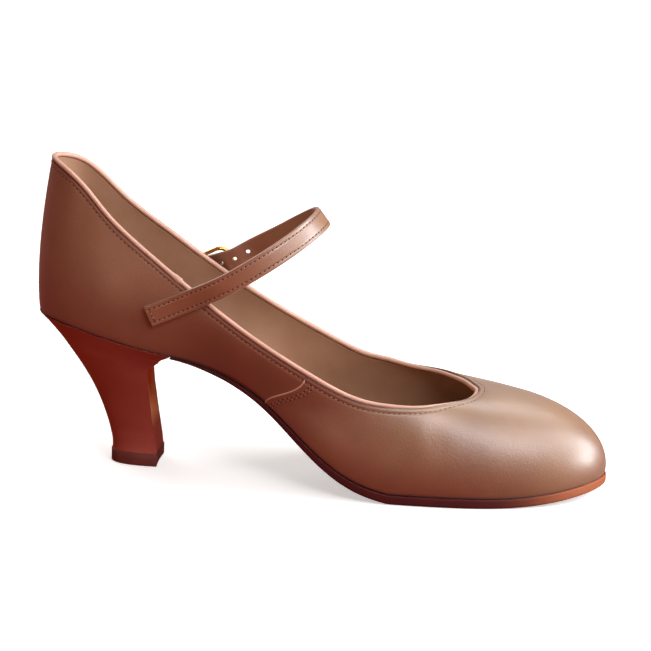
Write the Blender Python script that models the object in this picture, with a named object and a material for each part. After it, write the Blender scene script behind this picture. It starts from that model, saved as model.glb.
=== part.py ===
# Character shoe for the left foot: a one-strap court shoe on a flared heel.
# Metres, +Z up, +X towards the toe, +Y towards the outer side, where the buckle sits.
# The origin is on the floor, under the middle of the heel's top piece.

import math

import bmesh
import bpy
import numpy as np
from mathutils import Vector

# Driving sizes of the last
SHOE_LENGTH = 0.2386
HEEL_OVERHANG = 0.0428         # from the middle of the heel tip back to the counter
BALL_WIDTH = 0.0750
HEEL_HEIGHT = 0.0610           # floor to the sole line at the back of the seat
TOE_SPRING = 0.0060
QUARTER_HEIGHT = 0.0640        # seat to the top of the back seam
VAMP_HEIGHT = 0.0378           # sole to the front of the throat

# Sheets, edges and clearances
UPPER_WALL = 0.0018
VAMP_LAP = 0.0005              # the vamp lies this far over the quarter at the side seams
SOLE_THICKNESS = 0.0038
SOLE_MARGIN = 0.0010           # the sole stands out past the upper by this much
SOLE_EDGE_ROUND = 0.0007
INSOLE_THICKNESS = 0.0026
BINDING_WIDTH = 0.0023
BINDING_DEPTH = 0.0019
GAP = 0.0003                   # between pieces that touch in the real shoe
INSOLE_CLEARANCE = 0.0006
BEAD_CLEARANCE = 0.0012        # strap above the upper's face where it crosses the bead
FRONT_BAR_CLEARANCE = 0.0006

# Heel block and top piece
HEEL_TIP_LENGTH = 0.0190
HEEL_TIP_WIDTH = 0.0190
HEEL_TURN = math.radians(3)    # the tip is turned outwards, as the back of the foot is
HEEL_LIP_AHEAD = 0.0156        # from the middle of the tip to the front of the breast lip
TOP_PIECE_THICKNESS = 0.0052
TOP_PIECE_MARGIN = 0.0004
HEEL_SQUARENESS = 2.5          # exponent of the D-shaped sections: 2 is an ellipse

# Strap, tab and buckle
STRAP_WIDTH = 0.0086
STRAP_THICKNESS = 0.0020
STRAP_ROOT_AHEAD = 0.0078      # sewn end, from the middle of the tip
STRAP_ROOT_HEIGHT = 0.0684
STRAP_CREST_AHEAD = 0.0733     # top of the instep
STRAP_CREST_HEIGHT = 0.1066
INSTEP_HALF_WIDTH = 0.0300
HOLE_RADIUS = 0.0009
HOLE_PITCH = 0.0060
HOLES_AHEAD = 3                # holes between the buckle and the crest
PRONG_HOLE_RADIUS = 0.00135
TAB_WIDTH = 0.0070
TAB_THICKNESS = 0.0011
TAB_LENGTH = 0.0165
TAB_SLOT_WIDTH = 0.0022
BUCKLE_AHEAD = 0.0215          # hinge bar, from the middle of the tip
BUCKLE_HEIGHT = 0.0740
BUCKLE_SLOPE = math.radians(24)
BUCKLE_WIRE = 0.0016
BUCKLE_LENGTH = 0.0118         # hinge bar to front bar, between their middles
BUCKLE_WIDTH = 0.0120          # between the middles of the side rails
HINGE_CORNER = 0.0024
FRONT_CORNER = 0.0045
PRONG_WIRE = 0.0011

# Sole line from heel to toe. along is a share of the length, heel a share of the heel
# height, spring a share of the toe spring, thick a share of the sole's thickness.
SOLE_LINE = (
    # along, heel, spring, thick
    (0.000, 1.000, 0.000, 0.32),
    (0.029, 0.990, 0.000, 0.32),
    (0.067, 0.967, 0.000, 0.33),
    (0.109, 0.933, 0.000, 0.33),
    (0.160, 0.887, 0.000, 0.33),
    (0.219, 0.831, 0.000, 0.34),
    (0.246, 0.806, 0.000, 0.30),
    (0.274, 0.777, 0.000, 0.33),
    (0.303, 0.740, 0.000, 0.38),
    (0.333, 0.695, 0.000, 0.46),
    (0.362, 0.640, 0.000, 0.56),
    (0.394, 0.568, 0.000, 0.67),
    (0.426, 0.479, 0.000, 0.79),
    (0.457, 0.380, 0.000, 0.89),
    (0.489, 0.276, 0.000, 0.95),
    (0.521, 0.180, 0.000, 1.00),
    (0.552, 0.105, 0.000, 1.00),
    (0.582, 0.052, 0.000, 1.00),
    (0.611, 0.018, 0.000, 1.00),
    (0.637, 0.000, 0.000, 1.00),
    (0.780, 0.000, 0.000, 1.00),
    (0.823, 0.000, 0.020, 1.00),
    (0.865, 0.000, 0.100, 1.00),
    (0.907, 0.000, 0.270, 1.00),
    (0.949, 0.000, 0.540, 1.00),
    (1.000, 0.000, 1.000, 1.00),
)

# Sections of the upper, from the back seam along the inner side to the toe and home along
# the outer side. Each runs from the sole (foot) to the topline (top). foot_along and
# top_along are shares of the length, foot_side and top_side of half the ball width,
# quarter of the quarter height and vamp of the vamp height. The four handles, which give
# the section its bulge, are shares of the section's own height.
SECTIONS = (
    # foot_along, foot_side, top_along, top_side, quarter, vamp, low_out, low_up, high_out, high_down
    (0.006, 0.000, 0.022, 0.000, 0.985, 0.000, 0.031, 0.313, 0.055, 0.344),   # back seam
    (0.025, -0.329, 0.050, -0.311, 0.962, 0.000, 0.036, 0.323, 0.057, 0.355),
    (0.073, -0.532, 0.090, -0.445, 0.886, 0.000, 0.043, 0.320, 0.053, 0.355),
    (0.139, -0.637, 0.139, -0.553, 0.748, 0.000, 0.054, 0.313, 0.063, 0.355),
    (0.206, -0.632, 0.207, -0.637, 0.612, 0.000, 0.077, 0.307, 0.064, 0.358),
    (0.274, -0.547, 0.278, -0.684, 0.481, 0.000, 0.131, 0.230, 0.049, 0.394),
    (0.345, -0.532, 0.379, -0.768, 0.264, 0.183, 0.197, 0.247, 0.049, 0.444),
    (0.415, -0.647, 0.485, -0.853, 0.176, 0.442, 0.188, 0.376, 0.050, 0.564),  # inner side seam
    (0.489, -0.842, 0.561, -0.889, 0.089, 0.697, 0.101, 0.459, 0.083, 0.413),
    (0.569, -0.968, 0.620, -0.879, 0.000, 0.908, 0.082, 0.380, 0.095, 0.253),
    (0.654, -0.995, 0.675, -0.816, 0.000, 0.921, 0.078, 0.362, 0.139, 0.181),
    (0.738, -0.968, 0.717, -0.680, 0.000, 0.945, 0.082, 0.385, 0.200, 0.140),
    (0.815, -0.885, 0.749, -0.507, 0.000, 0.955, 0.088, 0.430, 0.340, 0.080),
    (0.894, -0.704, 0.763, -0.336, 0.000, 0.965, 0.100, 0.500, 0.580, 0.050),
    (0.957, -0.427, 0.767, -0.213, 0.000, 0.975, 0.110, 0.570, 0.800, 0.040),
    (0.983, -0.107, 0.765, -0.096, 0.000, 0.985, 0.105, 0.610, 0.900, 0.035),   # toe
    (0.961, 0.229, 0.754, 0.037, 0.000, 0.990, 0.110, 0.565, 0.830, 0.035),
    (0.903, 0.517, 0.739, 0.203, 0.000, 0.990, 0.098, 0.495, 0.640, 0.045),
    (0.823, 0.752, 0.714, 0.405, 0.000, 0.980, 0.085, 0.420, 0.420, 0.070),
    (0.745, 0.905, 0.682, 0.592, 0.000, 0.970, 0.080, 0.370, 0.260, 0.115),
    (0.660, 0.989, 0.640, 0.725, 0.000, 0.960, 0.075, 0.349, 0.180, 0.160),
    (0.578, 1.005, 0.594, 0.805, 0.031, 0.875, 0.077, 0.354, 0.133, 0.222),
    (0.493, 0.926, 0.548, 0.847, 0.106, 0.656, 0.093, 0.425, 0.093, 0.382),
    (0.419, 0.784, 0.483, 0.853, 0.174, 0.426, 0.159, 0.429, 0.061, 0.552),   # outer side seam
    (0.345, 0.668, 0.379, 0.795, 0.257, 0.177, 0.153, 0.307, 0.051, 0.460),
    (0.274, 0.626, 0.278, 0.726, 0.464, 0.000, 0.109, 0.272, 0.051, 0.408),
    (0.206, 0.653, 0.207, 0.658, 0.593, 0.000, 0.079, 0.317, 0.066, 0.369),
    (0.139, 0.637, 0.139, 0.558, 0.732, 0.000, 0.055, 0.320, 0.064, 0.363),
    (0.073, 0.532, 0.090, 0.445, 0.880, 0.000, 0.043, 0.323, 0.054, 0.359),
    (0.025, 0.329, 0.050, 0.311, 0.960, 0.000, 0.036, 0.324, 0.057, 0.357),
)
TOE_SECTION = 15
INNER_SEAM_SECTION = 7
OUTER_SEAM_SECTION = 23
SEAM_HALF_STEP = 0.05          # half the width of the lap's step, in sections
COLUMNS_PER_SECTION = 4
OUTER_ROWS = 12
INNER_ROWS = 8
BINDING_SIDES = 6
PLATE_STATIONS = 58
OUTLINE_STEPS = 800
EDGE_HIGH_SHARE = 0.8          # flat band of the sole's edge, in shares of its thickness
EDGE_LOW_SHARE = 0.3
SMALL_STEP = 0.01              # in sections or in rise, for directions along the surface
SEARCH_SECTIONS = {-1: (1, 10), 1: (20, 29)}   # sections of each side that carry the strap
SEARCH_COLUMNS = 181
SEARCH_ROWS = 61
CURVE_SAMPLES = 1200

# Heel block from the top piece up to the seat. level is a share of the way up, back a
# share of the seat's overhang behind the tip, front of the breast lip ahead of it, side
# of the seat's spread past the tip's width, and hollow the breast's dip, of the tip's length.
HEEL_SECTIONS = (
    # level, back, front, side, hollow
    (0.00, 0.020, 0.00, 0.00, 0.02),
    (0.05, 0.022, -0.03, -0.01, 0.03),
    (0.17, 0.060, -0.18, 0.01, 0.05),
    (0.26, 0.105, -0.32, 0.06, 0.06),
    (0.35, 0.160, -0.46, 0.12, 0.08),
    (0.44, 0.225, -0.60, 0.19, 0.09),
    (0.55, 0.325, -0.78, 0.30, 0.09),
    (0.66, 0.450, -0.90, 0.43, 0.09),
    (0.76, 0.585, -0.97, 0.56, 0.08),
    (0.84, 0.705, -0.95, 0.68, 0.06),
    (0.90, 0.805, -0.76, 0.79, 0.03),
    (0.945, 0.885, -0.33, 0.88, 0.01),
    (0.975, 0.945, 0.26, 0.95, 0.00),
    (1.00, 1.000, 1.00, 1.00, 0.00),
)
HEEL_SIDE_POINTS = 15          # from the middle of the back to a front corner
HEEL_BREAST_POINTS = 7

# Middle line of the strap between its two ends. run and climb are shares of the way from
# the sewn end to the crest, forwards and upwards, side a share of half the instep's width.
STRAP_LINE = (
    # run, side, climb
    (0.469, -1.00, 0.405),
    (0.686, -0.90, 0.637),
    (0.850, -0.68, 0.822),
    (0.959, -0.37, 0.952),
    (1.000, 0.00, 1.000),
    (0.959, 0.38, 0.945),
    (0.850, 0.70, 0.800),
    (0.690, 0.93, 0.602),
    (0.520, 1.05, 0.418),
)
STRAP_STATIONS = 84
STRAP_TILT_ROOT = math.radians(26)     # how far the strap's width leans back at its ends
STRAP_TILT_CREST = math.radians(38)    # and over the instep
STRAP_END_BLEND = 1 / 6                # share of the strap that turns flat to the quarter
FREE_END_LENGTH = 0.0165

# The sewn end lies on the quarter. run and climb as above, lift in gaps clear of it.
STRAP_ROOT_LINE = (
    # run, climb, lift
    (0.000, 0.000, 0),
    (0.120, 0.095, 0),
    (0.250, 0.201, 2),
)
STRAP_RISE_AHEAD = 0.78        # share of the buckle's length where the strap starts to rise
FREE_END_LINE = (
    # back, height: shares of the free end's length and of its height over the hinge bar
    (0.6, 0.93),
    (1.0, 0.90),
)

# The prong past its curl. ahead is a share of the buckle's length, rise of the way from
# the hinge bar to the strap's face, fall of the way on to the front bar, and lift is in
# diameters of the prong.
PRONG_LINE = (
    # ahead, rise, fall, lift
    (0.168, 0.5, 0.00, 0.00),
    (0.196, 1.0, 0.00, -0.45),
    (0.266, 1.0, 0.00, 0.50),
    (0.500, 1.0, 0.00, 0.40),
    (0.800, 1.0, 0.75, 0.20),
    (1.000, 1.0, 1.00, 0.00),
    (1.121, 1.0, 1.00, -0.27),
)
PRONG_HOLE_AHEAD = 0.189
PRONG_CURL_START = math.radians(-130)
PRONG_CURL_STEPS = 7
PRONG_STATIONS = 30
WIRE_SIDES = 8
HOLE_SIDES = 14
CORNER_STEPS = 6

# The tab's folded end behind the hinge bar: back in radii of its loop, lift in thicknesses.
TAB_TAIL = ((1.6, 1.6), (2.6, 1.0))
TAB_LOOP_END = math.radians(120)
TAB_LOOP_STEPS = 15
TAB_FLAT_STEPS = 8


def x_at(share):
    # Place along the shoe for a share of its length, counted from the counter.
    return np.asarray(share) * SHOE_LENGTH - HEEL_OVERHANG


def share_at(x):
    return (np.asarray(x, float) + HEEL_OVERHANG) / SHOE_LENGTH


def smooth_curve(knots, values, at):
    # Monotone cubic curve through the knots: a flat stretch of the table stays flat.
    knots = np.asarray(knots, float)
    values = np.asarray(values, float)
    step = np.diff(knots)
    slope = np.diff(values) / step
    tangent = np.zeros(len(knots))
    before, after = slope[:-1], slope[1:]
    turning = before * after <= 0
    near = 2 * step[1:] + step[:-1]
    far = step[1:] + 2 * step[:-1]
    safe_before = np.where(turning, 1.0, before)
    safe_after = np.where(turning, 1.0, after)
    mean = (near + far) / (near / safe_before + far / safe_after)
    tangent[1:-1] = np.where(turning, 0.0, mean)
    tangent[0], tangent[-1] = slope[0], slope[-1]
    at = np.asarray(at, float)
    index = np.clip(np.searchsorted(knots, at) - 1, 0, len(step) - 1)
    width = step[index]
    t = np.clip((at - knots[index]) / width, 0.0, 1.0)
    return (values[index] * (2 * t**3 - 3 * t**2 + 1)
            + values[index + 1] * (3 * t**2 - 2 * t**3)
            + tangent[index] * width * (t**3 - 2 * t**2 + t)
            + tangent[index + 1] * width * (t**3 - t**2))


def sole_bottom(x):
    # Height of the sole's underside above the floor.
    rows = np.array(SOLE_LINE)
    heel = smooth_curve(rows[:, 0], rows[:, 1], share_at(x))
    spring = smooth_curve(rows[:, 0], rows[:, 2], share_at(x))
    return heel * HEEL_HEIGHT + spring * TOE_SPRING


def feather_height(x):
    # Height of the line where the upper meets the sole or the heel.
    rows = np.array(SOLE_LINE)
    return sole_bottom(x) + smooth_curve(rows[:, 0], rows[:, 3], share_at(x)) * SOLE_THICKNESS


def closed_spline(rows, at):
    # Smooth closed curve through evenly counted rows: a cubic B-spline solved to meet them.
    count = len(rows)
    same = np.eye(count)
    system = (4 * same + np.roll(same, 1, 0) + np.roll(same, -1, 0)) / 6
    control = np.linalg.solve(system, rows)
    base = np.floor(at).astype(int)
    t = (at - base)[:, None]
    c0, c1, c2, c3 = (control[(base + k) % count] for k in (-1, 0, 1, 2))
    return ((1 - t)**3 * c0 + (3 * t**3 - 6 * t**2 + 4) * c1
            + (1 + 3 * t + 3 * t**2 - 3 * t**3) * c2 + t**3 * c3) / 6


def section_rows():
    # The table in metres: foot x y, top x y z, and the four handles.
    rows = np.array(SECTIONS)
    foot_x = x_at(rows[:, 0])
    top_x = x_at(rows[:, 2])
    top_z = feather_height(top_x) + rows[:, 4] * QUARTER_HEIGHT + rows[:, 5] * VAMP_HEIGHT
    height = top_z - feather_height(foot_x)
    return np.column_stack((foot_x, rows[:, 1] * BALL_WIDTH / 2, top_x,
                            rows[:, 3] * BALL_WIDTH / 2, top_z, rows[:, 6:] * height[:, None]))


def plan_normals(at, first):
    # Outward direction in plan of the curve held in two columns of the section rows.
    rows = section_rows()[:, first:first + 2]
    tangent = closed_spline(rows, at + SMALL_STEP) - closed_spline(rows, at - SMALL_STEP)
    normal = np.column_stack((tangent[:, 1], -tangent[:, 0]))
    return normal / np.linalg.norm(normal, axis=1)[:, None]


def vamp_lap(at):
    # Extra height of the vamp's leather: it lies over the quarter from seam to seam.
    inside = (at > INNER_SEAM_SECTION) & (at < OUTER_SEAM_SECTION)
    return np.where(inside, VAMP_LAP, 0.0)


def upper_outer(at, rise, lap=0.0):
    # Outer face of the upper as rows (rise) of columns (at): each column is a cubic Bezier
    # curve from the feather line up to the topline, bent by its low and high handles.
    at = np.asarray(at, float)
    rows = closed_spline(section_rows(), at)
    foot_out = np.column_stack((plan_normals(at, 0), np.zeros(len(at))))
    top_out = np.column_stack((plan_normals(at, 2), np.zeros(len(at))))
    up = np.array((0.0, 0.0, 1.0))
    lap = np.broadcast_to(lap, at.shape)[:, None]
    foot = np.column_stack((rows[:, 0], rows[:, 1], feather_height(rows[:, 0]))) + lap * foot_out
    top = rows[:, 2:5] + lap * top_out
    low = foot + rows[:, 5:6] * foot_out + rows[:, 6:7] * up
    high = top + rows[:, 7:8] * top_out - rows[:, 8:9] * up
    t = np.asarray(rise, float)[:, None, None]
    return (1 - t)**3 * foot + 3 * t * (1 - t)**2 * low + 3 * t**2 * (1 - t) * high + t**3 * top


def upper_normals(at, rise):
    # Outward normals of the same grid, from small steps both ways.
    at = np.asarray(at, float)
    rise = np.asarray(rise, float)
    around = upper_outer(at + SMALL_STEP, rise) - upper_outer(at - SMALL_STEP, rise)
    above = np.minimum(rise + SMALL_STEP, 1.0)
    below = np.maximum(rise - SMALL_STEP, 0.0)
    upwards = upper_outer(at, above) - upper_outer(at, below)
    normal = np.cross(around, upwards)
    return normal / np.linalg.norm(normal, axis=2)[:, :, None]


def on_quarter(side, x, z, lift):
    # Point of the upper's outer face at a given x and z on one side (-1 inner, 1 outer),
    # lifted along the normal. Past the topline the face is carried on in its own plane.
    at = np.linspace(*SEARCH_SECTIONS[side], SEARCH_COLUMNS)
    rise = np.linspace(0.0, 1.0, SEARCH_ROWS)
    points = upper_outer(at, rise).reshape(-1, 3)
    normals = upper_normals(at, rise).reshape(-1, 3)
    near = np.argmin((points[:, 0] - x)**2 + (points[:, 2] - z)**2)
    base, normal = points[near], normals[near]
    y = base[1] - (normal[0] * (x - base[0]) + normal[2] * (z - base[2])) / normal[1]
    return np.array((x, y, z)) + lift * normal, normal


def outline_side(side, offset):
    # One side of the feather outline in plan, moved outwards by an offset, heel to toe.
    if side < 0:
        at = np.linspace(0, TOE_SECTION + 1, OUTLINE_STEPS)
    else:
        at = np.linspace(len(SECTIONS), TOE_SECTION - 1, OUTLINE_STEPS)
    points = closed_spline(section_rows()[:, :2], at) + offset * plan_normals(at, 0)
    first, last = np.argmin(points[:, 0]), np.argmax(points[:, 0])
    return points[first:last + 1]


def clean_material(name, colour, roughness, metallic=0.0):
    material = bpy.data.materials.new(name)
    material.use_nodes = True
    shader = material.node_tree.nodes["Principled BSDF"]
    shader.inputs["Base Color"].default_value = (*colour, 1.0)
    shader.inputs["Roughness"].default_value = roughness
    shader.inputs["Metallic"].default_value = metallic
    return material


def add_piece(name, points, faces, material, sharp_degrees=40):
    # A closed mesh object with its faces turned outwards, shaded smooth between sharp edges.
    mesh = bpy.data.meshes.new(name)
    mesh.from_pydata([tuple(p) for p in points], [], faces)
    work = bmesh.new()
    work.from_mesh(mesh)
    bmesh.ops.recalc_face_normals(work, faces=work.faces)
    work.to_mesh(mesh)
    work.free()
    mesh.shade_smooth()
    mesh.set_sharp_from_angle(angle=math.radians(sharp_degrees))
    mesh.materials.append(material)
    piece = bpy.data.objects.new(name, mesh)
    bpy.context.scene.collection.objects.link(piece)
    return piece


def grid_faces(rows, columns, close_rows, close_columns):
    # Quads of a grid numbered row by row, wrapped round either way where asked.
    row_count = rows if close_rows else rows - 1
    column_count = columns if close_columns else columns - 1
    faces = []
    for r in range(row_count):
        for c in range(column_count):
            r2, c2 = (r + 1) % rows, (c + 1) % columns
            faces.append((r * columns + c, r * columns + c2, r2 * columns + c2, r2 * columns + c))
    return faces


def loft(name, loops, material, closed=False, sharp_degrees=40):
    # A solid skinned over closed loops with the same number of points, with flat ends.
    loops = np.asarray(loops)
    count, points = loops.shape[:2]
    faces = grid_faces(count, points, closed, True)
    if not closed:
        faces.append(tuple(range(points)))
        faces.append(tuple(range((count - 1) * points, count * points)))
    return add_piece(name, loops.reshape(-1, 3), faces, material, sharp_degrees)


def sweep(path, across, outwards, profile):
    # Loops of a profile, (across, outwards) pairs in metres, carried along a path.
    profile = np.asarray(profile)
    return (path[:, None, :] + profile[None, :, :1] * across[:, None, :]
            + profile[None, :, 1:] * outwards[:, None, :])


def round_profile(diameter, sides):
    turn = np.arange(sides) * 2 * math.pi / sides
    return np.column_stack((np.cos(turn), np.sin(turn))) * diameter / 2


def strap_profile(width, thickness):
    # Flat strip with its four long edges eased.
    ease = thickness * 0.3
    w, t = width / 2, thickness / 2
    return ((w, -t + ease), (w, t - ease), (w - ease, t), (-w + ease, t),
            (-w, t - ease), (-w, -t + ease), (-w + ease, -t), (w - ease, -t))


def make_upper(material):
    # One hollow wall: the outer rows go up to the topline and the inner rows come down.
    sections = len(SECTIONS)
    at = np.arange(sections * COLUMNS_PER_SECTION) / COLUMNS_PER_SECTION
    seams = np.array((INNER_SEAM_SECTION, OUTER_SEAM_SECTION))
    at = np.setdiff1d(at, seams)
    at = np.sort(np.concatenate((at, seams - SEAM_HALF_STEP, seams + SEAM_HALF_STEP)))
    outer_rise = (1 - np.cos(np.linspace(0, math.pi, OUTER_ROWS))) / 2
    inner_rise = (1 - np.cos(np.linspace(math.pi, 0, INNER_ROWS))) / 2
    outer = upper_outer(at, outer_rise, vamp_lap(at))
    inner = upper_outer(at, inner_rise) - UPPER_WALL * upper_normals(at, inner_rise)
    foot = upper_outer(at, [0.0])[0, :, :2] - UPPER_WALL * plan_normals(at, 0)
    inner[-1] = np.column_stack((foot, feather_height(foot[:, 0])))
    rows = np.concatenate((outer, inner))
    faces = grid_faces(len(rows), len(at), True, True)
    return add_piece("upper", rows.reshape(-1, 3), faces, material, 50)


def make_binding(material):
    # A bead of folded leather that sits on the topline all the way round.
    at = np.arange(len(SECTIONS) * COLUMNS_PER_SECTION) / COLUMNS_PER_SECTION
    edge = upper_outer(at, [1.0])[0]
    normal = upper_normals(at, [1.0])[0]
    ahead = np.roll(edge, -1, 0) - np.roll(edge, 1, 0)
    ahead /= np.linalg.norm(ahead, axis=1)[:, None]
    upwards = np.cross(normal, ahead)
    middle = edge - normal * UPPER_WALL / 2 + upwards * (BINDING_DEPTH / 2 + GAP)
    profile = round_profile(1.0, BINDING_SIDES) * (BINDING_WIDTH, BINDING_DEPTH)
    return loft("topline_binding", sweep(middle, normal, upwards, profile), material, True, 70)


def plate_from_outline(name, rings, start, material):
    # A plate between the two sides of the outline. rings is a list of (offset, height
    # function) from its top edge to its bottom edge. start cuts the heel end straight
    # across, and without it the plate has a round heel end.
    stations = PLATE_STATIONS
    loops = []
    for offset, height in rings:
        inner, outer = outline_side(-1, offset), outline_side(1, offset)
        first = max(inner[0, 0], outer[0, 0]) if start is None else start
        last = min(inner[-1, 0], outer[-1, 0])
        share = np.linspace(0, 1, stations)
        ease = np.sin(share * math.pi / 2) if start is not None else (1 - np.cos(share * math.pi)) / 2
        x = first + (last - first) * ease
        sides = [np.column_stack((x, np.interp(x, side[:, 0], side[:, 1]), height(x)))
                 for side in (inner, outer)]
        for side in sides:
            side[-1, 1] = (sides[0][-1, 1] + sides[1][-1, 1]) / 2
        if start is None:
            for side in sides:
                side[0, 1] = 0.0
        loops.append(sides)
    points, number = [], {}

    def vertex(ring, side, station):
        if station == stations - 1 or (station == 0 and start is None):
            side = 0
        key = (ring, side, station)
        if key not in number:
            number[key] = len(points)
            points.append(loops[ring][side][station])
        return number[key]

    faces = []

    def add_face(corners):
        kept = [c for i, c in enumerate(corners) if c not in corners[:i]]
        if len(kept) > 2:
            faces.append(kept)

    bottom = len(rings) - 1
    for s in range(stations - 1):
        for ring in (0, bottom):
            add_face([vertex(ring, 0, s), vertex(ring, 0, s + 1), vertex(ring, 1, s + 1), vertex(ring, 1, s)])
        for side in (0, 1):
            for ring in range(bottom):
                add_face([vertex(ring, side, s), vertex(ring, side, s + 1),
                          vertex(ring + 1, side, s + 1), vertex(ring + 1, side, s)])
    if start is not None:
        add_face([vertex(r, 0, 0) for r in range(bottom + 1)]
                 + [vertex(r, 1, 0) for r in range(bottom, -1, -1)])
    return add_piece(name, points, faces, material, 50)


def make_outsole(material):
    # Full width from the breast to the toe: thin at the waist, thicker under the ball.
    def top(x):
        return feather_height(x) - GAP

    def part_way(share):
        return lambda x: sole_bottom(x) + (top(x) - sole_bottom(x)) * share

    rings = ((SOLE_MARGIN - SOLE_EDGE_ROUND / 2, top),
             (SOLE_MARGIN, part_way(EDGE_HIGH_SHARE)),
             (SOLE_MARGIN, part_way(EDGE_LOW_SHARE)),
             (SOLE_MARGIN - SOLE_EDGE_ROUND, sole_bottom))
    return plate_from_outline("outsole", rings, HEEL_LIP_AHEAD + GAP, material)


def make_insole(material):
    # The board and sock that close the upper underneath, from the heel to the toe.
    inset = -(UPPER_WALL + INSOLE_CLEARANCE)
    rings = ((inset, lambda x: feather_height(x) + INSOLE_THICKNESS), (inset, feather_height))
    return plate_from_outline("insole", rings, None, material)


def heel_loop(level, back, front, side, hollow, seat_inner, seat_outer):
    # One D-shaped section of the heel: round at the back, with a breast dished inwards.
    # It turns from the tip's own shape at the bottom into the seat's outline at the top.
    tip = HEEL_TIP_LENGTH / 2
    x_back = -tip - back * (-seat_inner[0, 0] - tip)
    x_front = tip + front * (HEEL_LIP_AHEAD - tip)
    angle = np.linspace(0, math.pi / 2, HEEL_SIDE_POINTS)
    reach = np.cos(angle)**(2 / HEEL_SQUARENESS)
    spread = np.sin(angle)**(2 / HEEL_SQUARENESS)
    x = x_front - (x_front - x_back) * reach
    seat_x = HEEL_LIP_AHEAD - (HEEL_LIP_AHEAD - seat_inner[0, 0]) * reach
    sides = []
    for sign, seat in ((-1, seat_inner), (1, seat_outer)):
        at_seat = np.interp(seat_x, seat[:, 0], seat[:, 1])
        at_tip = sign * spread * HEEL_TIP_WIDTH / 2
        sides.append(np.column_stack((x, at_tip + side * (at_seat - at_tip))))
    sides[0][0, 1] = sides[1][0, 1] = 0.0
    across = np.linspace(0, 1, HEEL_BREAST_POINTS + 2)[1:-1, None]
    breast = sides[1][-1] + across * (sides[0][-1] - sides[1][-1])
    breast[:, 0] -= hollow * HEEL_TIP_LENGTH * 4 * across[:, 0] * (1 - across[:, 0])
    loop = np.concatenate((sides[1], breast, sides[0][:0:-1]))
    turn = HEEL_TURN * (1 - max(side, 0.0))
    loop = loop @ np.array(((math.cos(turn), math.sin(turn)), (-math.sin(turn), math.cos(turn))))
    bottom = TOP_PIECE_THICKNESS + GAP
    height = bottom + level * (feather_height(loop[:, 0]) - GAP - bottom)
    return np.column_stack((loop, height))


def make_heel(material):
    seat_inner, seat_outer = outline_side(-1, 0.0), outline_side(1, 0.0)
    loops = [heel_loop(*row, seat_inner, seat_outer) for row in HEEL_SECTIONS]
    count, points = len(loops), len(loops[0])
    faces = grid_faces(count, points, False, True)
    # The seat follows the sole line, so it is closed in strips straight across the heel.
    top = (count - 1) * points
    half = HEEL_SIDE_POINTS - 1
    for step in range(half):
        outer, outer_next = top + step, top + step + 1
        inner, inner_next = top + (points - step) % points, top + points - step - 1
        strip = [outer, outer_next, inner_next] + ([inner] if inner != outer else [])
        faces.append(tuple(strip))
    faces.append(tuple(range(top + half, top + points - half + 1)))
    faces.append(tuple(range(points)))
    return add_piece("heel", np.concatenate(loops), faces, material, 50)


def make_top_piece(material):
    # The wearing pad under the heel, flat on the floor, a little wider than the tip.
    seat_inner, seat_outer = outline_side(-1, 0.0), outline_side(1, 0.0)
    first = heel_loop(*HEEL_SECTIONS[0], seat_inner, seat_outer)
    spread = 1 + 2 * TOP_PIECE_MARGIN / HEEL_TIP_WIDTH
    base = first * (spread, spread, 0.0)
    top = base + (0.0, 0.0, TOP_PIECE_THICKNESS)
    return loft("top_piece", (base, top), material)


def buckle_frame_axes():
    # Local axes at the hinge bar: forwards along the strap, up across it, and outwards.
    origin, normal = on_quarter(1, BUCKLE_AHEAD, BUCKLE_HEIGHT, 0.0)
    forwards = np.array((math.cos(BUCKLE_SLOPE), 0.0, math.sin(BUCKLE_SLOPE)))
    forwards -= normal * forwards.dot(normal)
    forwards /= np.linalg.norm(forwards)
    across = np.cross(forwards, normal)
    return origin, forwards, across, normal


def bar_height():
    # The hinge bar lies in the tab's loop, which lies on the quarter.
    return GAP + TAB_THICKNESS + GAP + BUCKLE_WIRE / 2


def strap_over_bar():
    # Middle of the strap where it passes over the tab's loop.
    return bar_height() + BUCKLE_WIRE / 2 + GAP + TAB_THICKNESS + GAP + STRAP_THICKNESS / 2


def strap_under_front():
    # Middle of the strap under the buckle's front bar, just clear of the topline bead.
    return BEAD_CLEARANCE + STRAP_THICKNESS / 2


def front_bar_height():
    return strap_under_front() + STRAP_THICKNESS / 2 + FRONT_BAR_CLEARANCE + BUCKLE_WIRE / 2


def buckle_local(points):
    # World points for rows of (forwards, across, outwards) in the buckle's own axes.
    origin, forwards, across, normal = buckle_frame_axes()
    points = np.asarray(points)
    return origin + points[:, :1] * forwards + points[:, 1:2] * across + points[:, 2:] * normal


def strap_route():
    # Points of the strap's middle line, from the sewn end to the free end.
    run = STRAP_CREST_AHEAD - STRAP_ROOT_AHEAD
    climb = STRAP_CREST_HEIGHT - STRAP_ROOT_HEIGHT
    flat = GAP + STRAP_THICKNESS / 2
    route = []
    for forward, up, lift in STRAP_ROOT_LINE:
        x, z = STRAP_ROOT_AHEAD + forward * run, STRAP_ROOT_HEIGHT + up * climb
        route.append(on_quarter(-1, x, z, flat + lift * GAP)[0])
    for forward, side, up in STRAP_LINE:
        route.append(np.array((STRAP_ROOT_AHEAD + forward * run, side * INSTEP_HALF_WIDTH,
                               STRAP_ROOT_HEIGHT + up * climb)))
    past_bar = TAB_THICKNESS + BUCKLE_WIRE
    over = strap_over_bar()
    ends = [(BUCKLE_LENGTH + past_bar, 0, strap_under_front()),
            (BUCKLE_LENGTH, 0, strap_under_front()),
            (BUCKLE_LENGTH * STRAP_RISE_AHEAD, 0, strap_under_front() + GAP),
            (past_bar / 2, 0, over),
            (-past_bar, 0, over)]
    ends += [(-FREE_END_LENGTH * back, 0, over * height) for back, height in FREE_END_LINE]
    return np.concatenate((route, buckle_local(ends)))


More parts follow.
